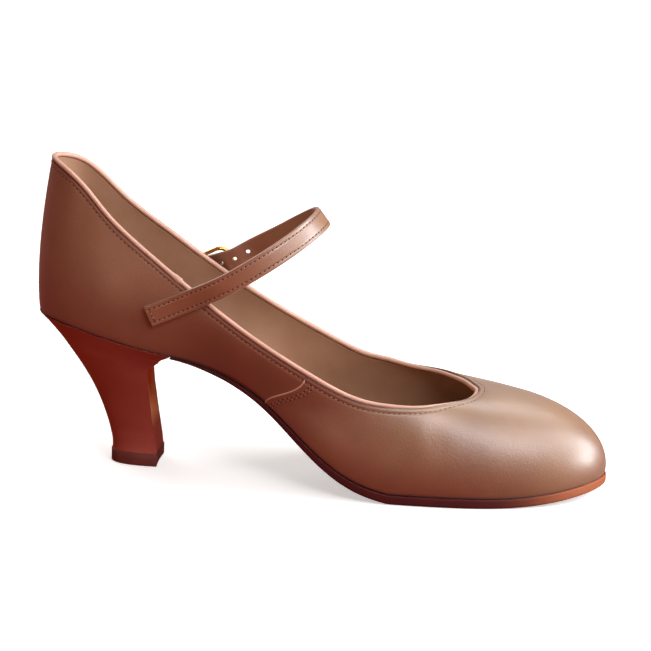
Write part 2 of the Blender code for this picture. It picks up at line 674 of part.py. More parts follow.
def catmull_rom(points, count):
    # Smooth open curve through the points, read at evenly spaced lengths.
    padded = np.concatenate((2 * points[:1] - points[1:2], points, 2 * points[-1:] - points[-2:-1]))
    dense = np.linspace(0, len(points) - 1, CURVE_SAMPLES)
    i = np.minimum(dense.astype(int), len(points) - 2)
    t = (dense - i)[:, None]
    p0, p1, p2, p3 = (padded[i + k] for k in range(4))
    curve = 0.5 * (2 * p1 + (p2 - p0) * t + (2 * p0 - 5 * p1 + 4 * p2 - p3) * t**2
                   + (3 * p1 - p0 - 3 * p2 + p3) * t**3)
    length = np.concatenate(([0.0], np.cumsum(np.linalg.norm(np.diff(curve, axis=0), axis=1))))
    even = np.linspace(0, length[-1], count)
    return np.column_stack([np.interp(even, length, curve[:, k]) for k in range(3)])


def strap_axes(path):
    # Width and outward directions along the strap: its width leans back with the foot.
    tangent = np.gradient(path, axis=0)
    tangent /= np.linalg.norm(tangent, axis=1)[:, None]
    nearness = np.clip(np.abs(path[:, 1]) / INSTEP_HALF_WIDTH, 0, 1)**2
    tilt = STRAP_TILT_CREST + (STRAP_TILT_ROOT - STRAP_TILT_CREST) * nearness
    lean = np.column_stack((-np.sin(tilt), np.zeros(len(path)), np.cos(tilt)))
    ends = np.stack((on_quarter(-1, *path[0, ::2], 0.0)[1], buckle_frame_axes()[3]))
    outwards = np.cross(tangent, lean)
    from_start = np.linspace(0, 1, len(path))[:, None]
    for share, end in ((from_start, ends[0]), (1 - from_start, ends[1])):
        blend = np.clip(share / STRAP_END_BLEND, 0, 1)
        outwards = outwards * blend + end * (1 - blend)
    across = np.cross(outwards, tangent)
    across /= np.linalg.norm(across, axis=1)[:, None]
    outwards = np.cross(tangent, across)
    return across, outwards / np.linalg.norm(outwards, axis=1)[:, None]


def add_cutter(name, target, points, faces):
    # A hidden solid that cuts a hole in its target.
    cutter = add_piece(name, points, faces, target.data.materials[0])
    cutter.hide_render = True
    cutter.display_type = "WIRE"
    cut = target.modifiers.new(name, "BOOLEAN")
    cut.operation = "DIFFERENCE"
    cut.solver = "EXACT"
    cut.object = cutter
    return cutter


def drill(name, target, centre, direction, radius, depth):
    sides = HOLE_SIDES
    direction = Vector(direction).normalized()
    side = np.array(direction.orthogonal().normalized())
    other = np.cross(np.array(direction), side)
    turn = np.arange(sides) * 2 * math.pi / sides
    ring = np.outer(np.cos(turn), side) * radius + np.outer(np.sin(turn), other) * radius
    half = np.array(direction) * depth / 2
    points = np.concatenate((centre + ring - half, centre + ring + half))
    faces = grid_faces(2, sides, False, True) + [tuple(range(sides)), tuple(range(sides, 2 * sides))]
    return add_cutter(name, target, points, faces)


def make_strap(material):
    path = catmull_rom(strap_route(), STRAP_STATIONS)
    across, outwards = strap_axes(path)
    profile = strap_profile(STRAP_WIDTH, STRAP_THICKNESS)
    strap = loft("strap", sweep(path, across, outwards, profile), material, sharp_degrees=60)
    length = np.concatenate(([0.0], np.cumsum(np.linalg.norm(np.diff(path, axis=0), axis=1))))
    prong = prong_hole_centre()
    from_prong = length - length[np.argmin(np.linalg.norm(path - prong, axis=1))]
    for step in range(-1, HOLES_AHEAD + 1):
        if step == 0:
            centre, direction, radius = prong, buckle_frame_axes()[3], PRONG_HOLE_RADIUS
        else:
            where = int(np.argmin(np.abs(from_prong + step * HOLE_PITCH)))
            centre, direction, radius = path[where], outwards[where], HOLE_RADIUS
        drill("strap_hole_%d" % (step + 2), strap, centre, direction, radius, 3 * STRAP_THICKNESS)
    return strap


def prong_route():
    # The prong curls round the hinge bar, rises through the strap and rests on the front bar.
    bar = bar_height()
    curl = BUCKLE_WIRE / 2 + GAP + PRONG_WIRE / 2
    turn = np.linspace(PRONG_CURL_START, 0, PRONG_CURL_STEPS)
    rows = [(curl * math.cos(a), 0.0, bar + curl * math.sin(a)) for a in turn]
    top = strap_over_bar() + STRAP_THICKNESS / 2
    rest = front_bar_height() + BUCKLE_WIRE / 2 + GAP + PRONG_WIRE / 2
    rows += [(ahead * BUCKLE_LENGTH, 0.0,
              bar + rise * (top - bar) + fall * (rest - top) + lift * PRONG_WIRE)
             for ahead, rise, fall, lift in PRONG_LINE]
    return np.array(rows)


def prong_hole_centre():
    fall = (strap_under_front() - strap_over_bar()) * PRONG_HOLE_AHEAD
    return buckle_local([(PRONG_HOLE_AHEAD * BUCKLE_LENGTH, 0.0, strap_over_bar() + fall)])[0]


def make_prong(material):
    path = catmull_rom(buckle_local(prong_route()), PRONG_STATIONS)
    across = np.tile(buckle_frame_axes()[2], (len(path), 1))
    tangent = np.gradient(path, axis=0)
    tangent /= np.linalg.norm(tangent, axis=1)[:, None]
    outwards = np.cross(tangent, across)
    loops = sweep(path, across, outwards, round_profile(PRONG_WIRE, WIRE_SIDES))
    return loft("buckle_prong", loops, material, sharp_degrees=70)


def make_buckle_frame(material):
    # A rounded oblong ring of wire, tilted up to clear the strap at its front bar.
    half_length, half_width = BUCKLE_LENGTH / 2, BUCKLE_WIDTH / 2
    corners = ((1, 1), (-1, 1), (-1, -1), (1, -1))
    rows = []
    for quarter, (a, w) in enumerate(corners):
        corner = FRONT_CORNER if a > 0 else HINGE_CORNER
        for step in range(CORNER_STEPS):
            turn = (quarter + step / (CORNER_STEPS - 1)) * math.pi / 2
            rows.append((a * (half_length - corner) + corner * math.cos(turn) + half_length,
                         w * (half_width - corner) + corner * math.sin(turn)))
    flat = np.array(rows)
    rise = bar_height() + (front_bar_height() - bar_height()) * flat[:, 0] / BUCKLE_LENGTH
    path = buckle_local(np.column_stack((flat, rise)))
    tangent = np.roll(path, -1, 0) - np.roll(path, 1, 0)
    tangent /= np.linalg.norm(tangent, axis=1)[:, None]
    normal = np.tile(buckle_frame_axes()[3], (len(path), 1))
    sideways = np.cross(tangent, normal)
    sideways /= np.linalg.norm(sideways, axis=1)[:, None]
    profile = round_profile(BUCKLE_WIRE, WIRE_SIDES)
    loops = sweep(path, sideways, np.cross(sideways, tangent), profile)
    return loft("buckle_frame", loops, material, True, 70)


def make_tab(material):
    # The short tab sewn to the outer quarter: it holds the hinge bar in its folded end.
    loop = BUCKLE_WIRE / 2 + GAP + TAB_THICKNESS / 2
    bar = bar_height()
    low = bar - loop
    turn = np.linspace(-math.pi / 2, TAB_LOOP_END, TAB_LOOP_STEPS)
    rows = [(-TAB_LENGTH + (TAB_LENGTH - loop) * share, low)
            for share in np.linspace(0, 1, TAB_FLAT_STEPS)]
    rows += [(loop * math.cos(a), bar + loop * math.sin(a)) for a in turn]
    rows += [(-loop * back, low + TAB_THICKNESS * lift + GAP) for back, lift in TAB_TAIL]
    side = np.array(rows)
    origin, forwards, across, normal = buckle_frame_axes()
    path = buckle_local(np.column_stack((side[:, 0], np.zeros(len(side)), side[:, 1])))
    for index, (ahead, lift) in enumerate(side[:TAB_FLAT_STEPS]):
        flat = origin + ahead * forwards
        path[index] = on_quarter(1, flat[0], flat[2], lift)[0]
    tangent = np.gradient(path, axis=0)
    tangent /= np.linalg.norm(tangent, axis=1)[:, None]
    wide = np.tile(across, (len(path), 1))
    outwards = np.cross(tangent, wide)
    profile = [(w * TAB_WIDTH / 2, t * TAB_THICKNESS / 2) for w, t in ((1, -1), (1, 1), (-1, 1), (-1, -1))]
    tab = loft("buckle_tab", sweep(path, wide, outwards, profile), material, sharp_degrees=50)
    reach = loop + TAB_THICKNESS
    box = [(a, w * TAB_SLOT_WIDTH / 2, d) for d in (-GAP, bar + reach)
           for a, w in ((-reach, -1), (reach, -1), (reach, 1), (-reach, 1))]
    faces = grid_faces(2, 4, False, True) + [(0, 1, 2, 3), (4, 5, 6, 7)]
    add_cutter("tab_slot", tab, buckle_local(box), faces)
    return tab


def main():
    for leftover in list(bpy.data.objects):
        bpy.data.objects.remove(leftover)
    tan_leather = clean_material("tan leather", (0.48, 0.33, 0.22), 0.42)
    rim_leather = clean_material("peach binding", (0.72, 0.47, 0.34), 0.55)
    strap_leather = clean_material("strap leather", (0.48, 0.33, 0.22), 0.42)
    tab_leather = clean_material("ribbed tab", (0.17, 0.10, 0.07), 0.75)
    sock_lining = clean_material("sock lining", (0.62, 0.44, 0.32), 0.70)
    sole_leather = clean_material("sole leather", (0.30, 0.13, 0.07), 0.60)
    heel_leather = clean_material("heel cover", (0.36, 0.17, 0.11), 0.40)
    tread_rubber = clean_material("tread rubber", (0.10, 0.05, 0.04), 0.80)
    brass = clean_material("brass", (0.80, 0.55, 0.20), 0.25, 1.0)
    prong_brass = clean_material("prong brass", (0.80, 0.55, 0.20), 0.25, 1.0)
    make_upper(tan_leather)
    make_binding(rim_leather)
    make_outsole(sole_leather)
    make_insole(sock_lining)
    make_heel(heel_leather)
    make_top_piece(tread_rubber)
    make_strap(strap_leather)
    make_buckle_frame(brass)
    make_prong(prong_brass)
    make_tab(tab_leather)


main()
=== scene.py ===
import math

import bmesh
import bpy
import numpy as np
from mathutils import Matrix, Vector


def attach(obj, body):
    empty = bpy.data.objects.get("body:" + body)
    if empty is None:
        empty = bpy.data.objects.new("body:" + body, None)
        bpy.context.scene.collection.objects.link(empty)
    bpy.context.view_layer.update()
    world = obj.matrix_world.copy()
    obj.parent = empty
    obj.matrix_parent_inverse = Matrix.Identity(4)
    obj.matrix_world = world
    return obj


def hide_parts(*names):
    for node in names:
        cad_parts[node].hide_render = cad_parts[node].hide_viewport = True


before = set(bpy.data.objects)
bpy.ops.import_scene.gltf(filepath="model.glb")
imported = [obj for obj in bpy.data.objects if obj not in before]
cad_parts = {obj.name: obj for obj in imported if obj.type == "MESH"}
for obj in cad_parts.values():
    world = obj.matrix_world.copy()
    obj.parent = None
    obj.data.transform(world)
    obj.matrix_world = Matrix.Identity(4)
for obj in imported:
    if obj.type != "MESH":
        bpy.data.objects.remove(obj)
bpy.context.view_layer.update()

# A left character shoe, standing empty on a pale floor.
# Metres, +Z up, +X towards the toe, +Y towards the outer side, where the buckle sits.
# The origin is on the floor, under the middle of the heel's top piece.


# Shared helpers

def linearColour(hexText):
    # sRGB hex to the linear values that the shader works in
    channels = np.array([int(hexText[i:i + 2], 16) for i in (1, 3, 5)]) / 255
    return (*np.where(channels <= 0.04045, channels / 12.92, ((channels + 0.055) / 1.055) ** 2.4), 1.0)


def addNode(tree, kind, settings=None, links=None):
    # settings holds node properties or input values, links holds input: output socket
    node = tree.nodes.new("ShaderNode" + kind)
    for key, value in (settings or {}).items():
        if isinstance(key, int) or key in node.inputs:
            node.inputs[key].default_value = value
        else:
            setattr(node, key, value)
    for key, socket in (links or {}).items():
        tree.links.new(socket, node.inputs[key])
    return node


def newMaterial(name, settings):
    # settings go to the shader's own sockets
    material = bpy.data.materials.new(name)
    material.use_nodes = True
    tree = material.node_tree
    shader = tree.nodes["Principled BSDF"]
    for key, value in settings.items():
        shader.inputs[key].default_value = value
    return material, tree, shader


def setRamp(node, stops):
    # stops: (place, hex colour) pairs from low to high; gives the ramp's colour socket
    ramp = node.color_ramp
    while len(ramp.elements) < len(stops):
        ramp.elements.new(0.5)
    for element, (place, colour) in zip(ramp.elements, stops):
        element.position = place
        element.color = linearColour(colour)
    return node.outputs["Color"]


def gridQuads(rows, columns, closeRows=False, closeColumns=False):
    # corner numbers of every quad of a grid, wrapped round where asked
    r = np.arange(rows if closeRows else rows - 1)[:, None]
    c = np.arange(columns if closeColumns else columns - 1)[None, :]
    r2, c2 = (r + 1) % rows, (c + 1) % columns
    corners = r * columns + c, r * columns + c2, r2 * columns + c2, r2 * columns + c
    return np.stack(corners, -1).reshape(-1, 4)


def closedLoft(loops):
    # faces of closed sections carried along, with a flat end at each side
    count, points = loops.shape[:2]
    ends = [list(range(points)), list(range((count - 1) * points, count * points))]
    return gridQuads(count, points, False, True).tolist() + ends


def addObject(name, data):
    thing = bpy.data.objects.new(name, data)
    bpy.context.scene.collection.objects.link(thing)
    return thing


def newMesh(name, points, faces, attributes=None, weld=0.0):
    # a mesh with its faces outwards; attributes are per-point values for its material
    mesh = bpy.data.meshes.new(name)
    corners = np.asarray(points, float).reshape(-1, 3).tolist()
    mesh.from_pydata(corners, [], [list(map(int, face)) for face in faces])
    for key, values in (attributes or {}).items():
        channel = mesh.attributes.new(key, "FLOAT", "POINT")
        channel.data.foreach_set("value", np.asarray(values, np.float32).ravel())
    work = bmesh.new()
    work.from_mesh(mesh)
    if weld:
        bmesh.ops.remove_doubles(work, verts=work.verts, dist=weld)
    bmesh.ops.recalc_face_normals(work, faces=work.faces)
    work.to_mesh(mesh)
    work.free()
    return mesh


def shadeMesh(mesh, sharpDegrees):
    # smooth, with a crisp edge where faces meet at more than the given angle
    mesh.shade_smooth()
    if sharpDegrees:
        mesh.set_sharp_from_angle(angle=math.radians(sharpDegrees))


def makePiece(name, points, faces, material, replaces, sharpDegrees=None, attributes=None, weld=0.0):
    # one named piece, with its material, the solid it stands for and its slot
    mesh = newMesh(name, points, faces, attributes, weld)
    shadeMesh(mesh, sharpDegrees)
    mesh.materials.append(material)
    piece = addObject(name, mesh)
    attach(piece, "root")
    if replaces:
        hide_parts(replaces)
    return piece


def smoothStep(low, high, value):
    # 0 up to low, 1 from high, and 3t^2 - 2t^3 between them
    t = np.clip((np.asarray(value, float) - low) / (high - low), 0, 1)
    return t * t * (3 - 2 * t)


def bump(value, middle, width):
    # soft hill of height 1: e to the minus ((value - middle) / width) squared
    return np.exp(-((value - middle) / width) ** 2)


def easedSteps(count):
    # 0 to 1, closer together at both ends: half of 1 - cos(pi * t)
    return (1 - np.cos(np.linspace(0, math.pi, count))) / 2


def fullTurn(count):
    # even angles once round a circle
    return np.arange(count) * 2 * math.pi / count


def unit(vectors):
    # the same directions at length 1
    return vectors / np.maximum(np.linalg.norm(vectors, axis=-1, keepdims=True), 1e-12)


def runLength(path):
    # distance along a path at each of its points
    return np.concatenate(([0.0], np.cumsum(np.linalg.norm(np.diff(path, axis=0), axis=1))))


# The last: sole line, sections and outline

last = dict(
    shoeLength=0.2386, heelOverhang=0.0428, ballWidth=0.0750, heelHeight=0.0610, toeSpring=0.0060,
    quarterHeight=0.0640, vampHeight=0.0378, soleThickness=0.0038,
    # along, heel, spring, thick: thousandths of length, heel height, toe spring and thickness
    soleLine=(
        (0, 1000, 0, 320), (29, 990, 0, 320), (67, 967, 0, 330), (109, 933, 0, 330), (160, 887, 0, 330),
        (219, 831, 0, 340), (246, 806, 0, 300), (274, 777, 0, 330), (303, 740, 0, 380),
        (333, 695, 0, 460), (362, 640, 0, 560), (394, 568, 0, 670), (426, 479, 0, 790),
        (457, 380, 0, 890), (489, 276, 0, 950), (521, 180, 0, 1000), (552, 105, 0, 1000),
        (582, 52, 0, 1000), (611, 18, 0, 1000), (637, 0, 0, 1000), (780, 0, 0, 1000),
        (823, 0, 20, 1000), (865, 0, 100, 1000), (907, 0, 270, 1000), (949, 0, 540, 1000),
        (1000, 0, 1000, 1000)),
    # thousandths: base along and side, top along and side, quarter, vamp, low out and up, high
    # out and down
    sections=(
        (6, 0, 22, 0, 985, 0, 31, 313, 55, 344),
        (25, -329, 50, -311, 962, 0, 36, 323, 57, 355),
        (73, -532, 90, -445, 886, 0, 43, 320, 53, 355),
        (139, -637, 139, -553, 748, 0, 54, 313, 63, 355),
        (206, -632, 207, -637, 612, 0, 77, 307, 64, 358),
        (274, -547, 278, -684, 481, 0, 131, 230, 49, 394),
        (345, -532, 379, -768, 264, 183, 197, 247, 49, 444),
        (415, -647, 485, -853, 176, 442, 188, 376, 50, 564),
        (489, -842, 561, -889, 89, 697, 101, 459, 83, 413),
        (569, -968, 620, -879, 0, 908, 82, 380, 95, 253),
        (654, -995, 675, -816, 0, 921, 78, 362, 139, 181),
        (738, -968, 717, -680, 0, 945, 82, 385, 200, 140),
        (815, -885, 749, -507, 0, 955, 88, 430, 340, 80),
        (894, -704, 763, -336, 0, 965, 100, 500, 580, 50),
        (957, -427, 767, -213, 0, 975, 110, 570, 800, 40),
        (983, -107, 765, -96, 0, 985, 105, 610, 900, 35),
        (961, 229, 754, 37, 0, 990, 110, 565, 830, 35),
        (903, 517, 739, 203, 0, 990, 98, 495, 640, 45),
        (823, 752, 714, 405, 0, 980, 85, 420, 420, 70),
        (745, 905, 682, 592, 0, 970, 80, 370, 260, 115),
        (660, 989, 640, 725, 0, 960, 75, 349, 180, 160),
        (578, 1005, 594, 805, 31, 875, 77, 354, 133, 222),
        (493, 926, 548, 847, 106, 656, 93, 425, 93, 382),
        (419, 784, 483, 853, 174, 426, 159, 429, 61, 552),
        (345, 668, 379, 795, 257, 177, 153, 307, 51, 460),
        (274, 626, 278, 726, 464, 0, 109, 272, 51, 408),
        (206, 653, 207, 658, 593, 0, 79, 317, 66, 369),
        (139, 637, 139, 558, 732, 0, 55, 320, 64, 363),
        (73, 532, 90, 445, 880, 0, 43, 323, 54, 359),
        (25, 329, 50, 311, 960, 0, 36, 324, 57, 357)),
    toeSection=15, innerSeam=7, outerSeam=23)
sectionCount = len(last["sections"])
smallStep = 0.01        # in sections, or in shares of the height, to read a direction
outlinePoints = 1600    # round each side of the sole line
curvePoints = 4000      # of a path, before it is read at even lengths
# the sections on which the strap's two ends sit, and the grid that is searched there
quarterSearch = {-1: (1, 10), 1: (20, 29)}
quarterGrid = 181, 61


def xAt(share):
    # place along the shoe from a share of its length
    return np.asarray(share) * last["shoeLength"] - last["heelOverhang"]


def shareAt(x):
    return (np.asarray(x, float) + last["heelOverhang"]) / last["shoeLength"]


def smoothCurve(knots, values, at):
    # monotone cubic through the knots: harmonic means of the slopes, so flats stay flat
    knots, values = np.asarray(knots, float), np.asarray(values, float)
    step = np.diff(knots)
    slope = np.diff(values) / step
    tangent = np.zeros(len(knots))
    before, after = slope[:-1], slope[1:]
    turning = before * after <= 0
    near, far = 2 * step[1:] + step[:-1], step[1:] + 2 * step[:-1]
    mean = (near + far) / (near / np.where(turning, 1, before) + far / np.where(turning, 1, after))
    tangent[1:-1] = np.where(turning, 0, mean)
    tangent[0], tangent[-1] = slope[0], slope[-1]
    at = np.asarray(at, float)
    i = np.clip(np.searchsorted(knots, at) - 1, 0, len(step) - 1)
    t = np.clip((at - knots[i]) / step[i], 0, 1)
    return (values[i] * (2 * t**3 - 3 * t**2 + 1) + values[i + 1] * (3 * t**2 - 2 * t**3)
            + tangent[i] * step[i] * (t**3 - 2 * t**2 + t) + tangent[i + 1] * step[i] * (t**3 - t**2))


def soleShare(column, x):
    # one column of the sole line, read at x
    table = np.array(last["soleLine"]) / 1000
    return smoothCurve(table[:, 0], table[:, column], shareAt(x))


def soleBottom(x):
    # heel share times heel height, plus spring share times toe spring
    return soleShare(1, x) * last["heelHeight"] + soleShare(2, x) * last["toeSpring"]


def featherHeight(x):
    # where the upper meets the sole or the heel: the bottom plus the sole's own thickness
    return soleBottom(x) + soleShare(3, x) * last["soleThickness"]


def closedSpline(rows, at):
    # closed cubic B-spline. Its control rows are solved so that a sixth of (before + 4 own +
    # after) is each row, so that the curve passes through the rows
    count = len(rows)
    same = np.eye(count)
    control = np.linalg.solve((4 * same + np.roll(same, 1, 0) + np.roll(same, -1, 0)) / 6, rows)
    base = np.floor(at).astype(int)
    t = (at - base)[:, None]
    c0, c1, c2, c3 = (control[(base + k) % count] for k in (-1, 0, 1, 2))
    return ((1 - t)**3 * c0 + (3 * t**3 - 6 * t**2 + 4) * c1
            + (1 + 3 * t + 3 * t**2 - 3 * t**3) * c2 + t**3 * c3) / 6


def sectionRows():
    # shares turned to metres: base x and y, top x, y and z, and the four handle lengths
    rows = np.array(last["sections"]) / 1000
    baseX, topX = xAt(rows[:, 0]), xAt(rows[:, 2])
    topZ = featherHeight(topX) + rows[:, 4] * last["quarterHeight"] + rows[:, 5] * last["vampHeight"]
    height = topZ - featherHeight(baseX)
    half = last["ballWidth"] / 2
    handles = rows[:, 6:] * height[:, None]
    return np.column_stack((baseX, rows[:, 1] * half, topX, rows[:, 3] * half, topZ, handles))


sectionTable = sectionRows()


def planNormals(at, first):
    # outward direction in plan of the closed curve held in two columns of the table: its
    # direction of travel, turned by a right angle
    rows = sectionTable[:, first:first + 2]
    tangent = closedSpline(rows, at + smallStep) - closedSpline(rows, at - smallStep)
    return unit(np.column_stack((tangent[:, 1], -tangent[:, 0])))


def upperOuter(at, rise):
    # rows (rise t, 0 to 1) of columns (at). Each column is a cubic Bezier from sole to topline:
    # (1-t)^3 base + 3t(1-t)^2 low + 3t^2(1-t) high + t^3 top, where low and high stand out from
    # the base and the top, and up or down from them, by the section's handle lengths
    at = np.asarray(at, float)
    rows = closedSpline(sectionTable, at)
    baseOut, topOut = (np.column_stack((planNormals(at, first), np.zeros(len(at)))) for first in (0, 2))
    upwards = np.array((0.0, 0.0, 1.0))
    base = np.column_stack((rows[:, 0], rows[:, 1], featherHeight(rows[:, 0])))
    top = rows[:, 2:5]
    low = base + rows[:, 5:6] * baseOut + rows[:, 6:7] * upwards
    high = top + rows[:, 7:8] * topOut - rows[:, 8:9] * upwards
    t = np.asarray(rise, float)[:, None, None]
    return (1 - t)**3 * base + 3 * t * (1 - t)**2 * low + 3 * t**2 * (1 - t) * high + t**3 * top


def upperNormals(at, rise):
    # the small step round the shoe crossed with the small step up the wall
    at, rise = np.asarray(at, float), np.asarray(rise, float)
    around = upperOuter(at + smallStep, rise) - upperOuter(at - smallStep, rise)
    higher, lower = np.minimum(rise + smallStep, 1), np.maximum(rise - smallStep, 0)
    return unit(np.cross(around, upperOuter(at, higher) - upperOuter(at, lower)))


def upperSkin(at, rise, lift):
    # the outer face moved along its normals, inwards where the lift is below 0
    return upperOuter(at, rise) + lift * upperNormals(at, rise)


def evenColumns(perSection):
    return np.arange(sectionCount * perSection) / perSection


def onQuarter(side, x, z, lift):
    # point of the outer face at a given x and z on one side, lifted along the normal: the
    # nearest point of a grid, carried in its tangent plane
    columns, rows = quarterGrid
    at, rise = np.linspace(*quarterSearch[side], columns), np.linspace(0, 1, rows)
    points, normals = upperOuter(at, rise).reshape(-1, 3), upperNormals(at, rise).reshape(-1, 3)
    near = np.argmin((points[:, 0] - x)**2 + (points[:, 2] - z)**2)
    base, normal = points[near], normals[near]
    y = base[1] - (normal[0] * (x - base[0]) + normal[2] * (z - base[2])) / normal[1]
    return np.array((x, y, z)) + lift * normal, normal


def outlineSide(side, offset):
    # one side of the sole line in plan, moved outwards, heel to toe
    start, end = (0, last["toeSection"] + 1) if side < 0 else (sectionCount, last["toeSection"] - 1)
    at = np.linspace(start, end, outlinePoints)
    points = closedSpline(sectionTable[:, :2], at) + offset * planNormals(at, 0)
    first, final = np.argmin(points[:, 0]), np.argmax(points[:, 0])
    return points[first:final + 1]


# Finishes

# Noise patterns: scale, detail, roughness. The dye clouds are 26 mm wide, the soft creases 8 mm
# and the grain 1 mm. Pores of real calf are 0.1 to 0.2 mm, but they are drawn as 0.5 mm cells,
# because finer ones vanish at this image size.
leatherPattern = dict(
    cloud=(38.0, 4.0, 0.55), grain=(950.0, 3.0, 0.60), creases=(120.0, 5.0, 0.65), pores=1900.0,
    poreShare=0.6, grainDepth=0.00012, creaseDepth=0.0004, dyeStops=(0.34, 0.66), polish=(-0.05, 0.07))
plainLeather = dict(specular=0.5, coat=0.0, coatRoughness=0.4, sheen=0.0, over=())
# over: a point value of the mesh, and the two tones that it lays over the dye
leatherLook = dict(
    # vamp and quarters: a satin polish with broad soft highlights, painted shade that is deeper and
    # redder over the waist, the quarters and low down, and a dark line of painted shade along the joins
    upper=dict(
        name="tan satin calf", dye=("#86603E", "#956D48"), roughness=0.46, specular=0.8, coat=1.0,
        coatRoughness=0.38, sheen=0.25, grain=0.55, creases=0.10,
        over=(("depth", "#783F27", "#84492E"), ("joinShade", "#24100B", "#24100B"))),
    # the same calf, a shade lighter and shinier, with painted shade, darker and redder, towards both ends
    strap=dict(
        name="tan satin strap calf", dye=("#8E6743", "#9C744E"), roughness=0.46, specular=0.8, coat=1.0,
        coatRoughness=0.34, sheen=0.25, grain=0.55, creases=0.06, over=(("depth", "#8A5033", "#965A3C"),)),
    # pale pink-tan and nearly matt, so that the bead stands out from the upper
    binding=dict(name="peach kid binding", dye=("#CC9C84", "#D8AC96"), roughness=0.50, coat=0.15,
                 grain=0.25, creases=0.10),
    # unpolished inside skin, matt and sandy
    lining=dict(name="natural pig lining", dye=("#9C7458", "#AB8469"), roughness=0.60,
                grain=0.30, creases=0.12),
    # a little rougher and more creased than the lining
    sock=dict(name="natural sock leather", dye=("#94704F", "#A58062"), roughness=0.62,
              grain=0.30, creases=0.20),
    # red-brown, smooth, with a low shine; the breast strip is a light leather, brightened as painted light
    heel=dict(name="chestnut heel cover", dye=("#98463A", "#A45044"), roughness=0.42, coat=0.25,
              coatRoughness=0.38, grain=0.30, creases=0.08, over=(("breast", "#FFB878", "#FFB878"),)),
    # matt and fibrous, orange-brown at the toe, with painted shade that darkens it from the ball back
    sole=dict(name="oak-tanned sole leather", dye=("#9C5632", "#B06644"), roughness=0.68, specular=0.3,
              grain=0.45, creases=0.25, over=(("depth", "#461214", "#541A18"),)))
plainLook = dict(
    # brown waxed yarn with a dull shine
    thread=dict(name="waxed polyester thread", dye=("#96705A", "#A68068"), roughness=0.5, cloud=300.0,
                rub=0.4, rubScale=2500.0),
    # near black and matt, a pit in shadow
    hole=dict(name="needle hole in leather", dye=("#1E0F0A", "#2A1710"), roughness=0.8, cloud=300.0,
              rub=0.4, rubScale=2500.0),
    # dull red-brown with a scuffed surface
    rubber=dict(name="moulded top-piece rubber", dye=("#64302A", "#703A32"), roughness=0.62, cloud=120.0,
                rub=0.35, rubScale=900.0),
    # bright yellow metal, polished, with faint rub marks
    brass=dict(name="polished brass", dye=("#D9A441", "#E8B955"), roughness=0.20, cloud=60.0, metallic=1.0,
               rub=0.08, rubScale=400.0),
    # dark woven facing, matt; its ribs are in the mesh
    tab=dict(name="dark ribbed tab", dye=("#46301F", "#5C402B"), roughness=0.75, cloud=500.0, detail=3.0,
             rub=0.0, rubScale=500.0))
plainPattern = dict(detail=4.0, dyeStops=(0.35, 0.65), rubDepth=0.0001)


def leatherMaterial(look):
    # clouds of dye; tones laid over them by the mesh's point values, mostly painted shade and painted
    # light; then grain with pores and soft creases as relief, and a polish that varies with the grain
    pattern, look = leatherPattern, {**plainLeather, **look}
    material, tree, shader = newMaterial(look["name"], {
        "IOR": 1.5, "Specular IOR Level": look["specular"], "Coat Weight": look["coat"],
        "Coat Roughness": look["coatRoughness"], "Coat IOR": 1.55, "Sheen Weight": look["sheen"],
        "Sheen Roughness": 0.5})
    where = addNode(tree, "TexCoord").outputs["Object"]
    noises = []
    for key in ("cloud", "grain", "creases"):
        settings = dict(zip(("Scale", "Detail", "Roughness"), pattern[key]))
        noises.append(addNode(tree, "TexNoise", settings, {"Vector": where}).outputs["Fac"])
    cloud, grain, creases = noises

    def mottled(tones):
        ramp = addNode(tree, "ValToRGB", {}, {"Fac": cloud})
        return setRamp(ramp, list(zip(pattern["dyeStops"], tones)))

    colour = mottled(look["dye"])
    for attribute, *tones in look["over"]:
        share = addNode(tree, "Attribute", {"attribute_name": attribute}).outputs["Fac"]
        mixed = addNode(tree, "MixRGB", {}, {0: share, 1: colour, 2: mottled(tones)})
        colour = mixed.outputs["Color"]
    tree.links.new(colour, shader.inputs["Base Color"])
    pores = addNode(tree, "TexVoronoi", {"Scale": pattern["pores"], "Randomness": 1.0}, {"Vector": where})
    fine = addNode(tree, "Math", {"operation": "MULTIPLY_ADD", 1: pattern["poreShare"]},
                   {0: pores.outputs["Distance"], 2: grain})
    first = addNode(tree, "Bump", {"Strength": look["grain"], "Distance": pattern["grainDepth"]},
                    {"Height": fine.outputs[0]})
    second = addNode(tree, "Bump", {"Strength": look["creases"], "Distance": pattern["creaseDepth"]},
                     {"Height": creases, "Normal": first.outputs["Normal"]})
    tree.links.new(second.outputs["Normal"], shader.inputs["Normal"])
    smooth, rough = (look["roughness"] + change for change in pattern["polish"])
    polish = addNode(tree, "MapRange", {
        "From Min": 0.3, "From Max": 0.7, "To Min": smooth, "To Max": rough}, {"Value": grain})
    tree.links.new(polish.outputs["Result"], shader.inputs["Roughness"])
    return material


def plainMaterial(look):
    # even colour with faint mottling, and a light rub as relief
    look = {"metallic": 0.0, **plainPattern, **look}
    material, tree, shader = newMaterial(look["name"], {
        "Roughness": look["roughness"], "Metallic": look["metallic"]})
    where = addNode(tree, "TexCoord").outputs["Object"]
    cloud, rub = (addNode(tree, "TexNoise", {"Scale": scale, "Detail": look["detail"]},
                          {"Vector": where}).outputs["Fac"] for scale in (look["cloud"], look["rubScale"]))
    ramp = addNode(tree, "ValToRGB", {}, {"Fac": cloud})
    tree.links.new(setRamp(ramp, list(zip(look["dyeStops"], look["dye"]))), shader.inputs["Base Color"])
    wearAndPaintedLight = addNode(tree, "Bump", {"Strength": look["rub"], "Distance": look["rubDepth"]}, {"Height": rub})
    tree.links.new(wearAndPaintedLight.outputs["Normal"], shader.inputs["Normal"])
    return material


finishes = {key: leatherMaterial(look) for key, look in leatherLook.items()}
finishes.update({key: plainMaterial(look) for key, look in plainLook.items()})
print("finishes made")


# Upper: outer leather, lining, binding and side seams

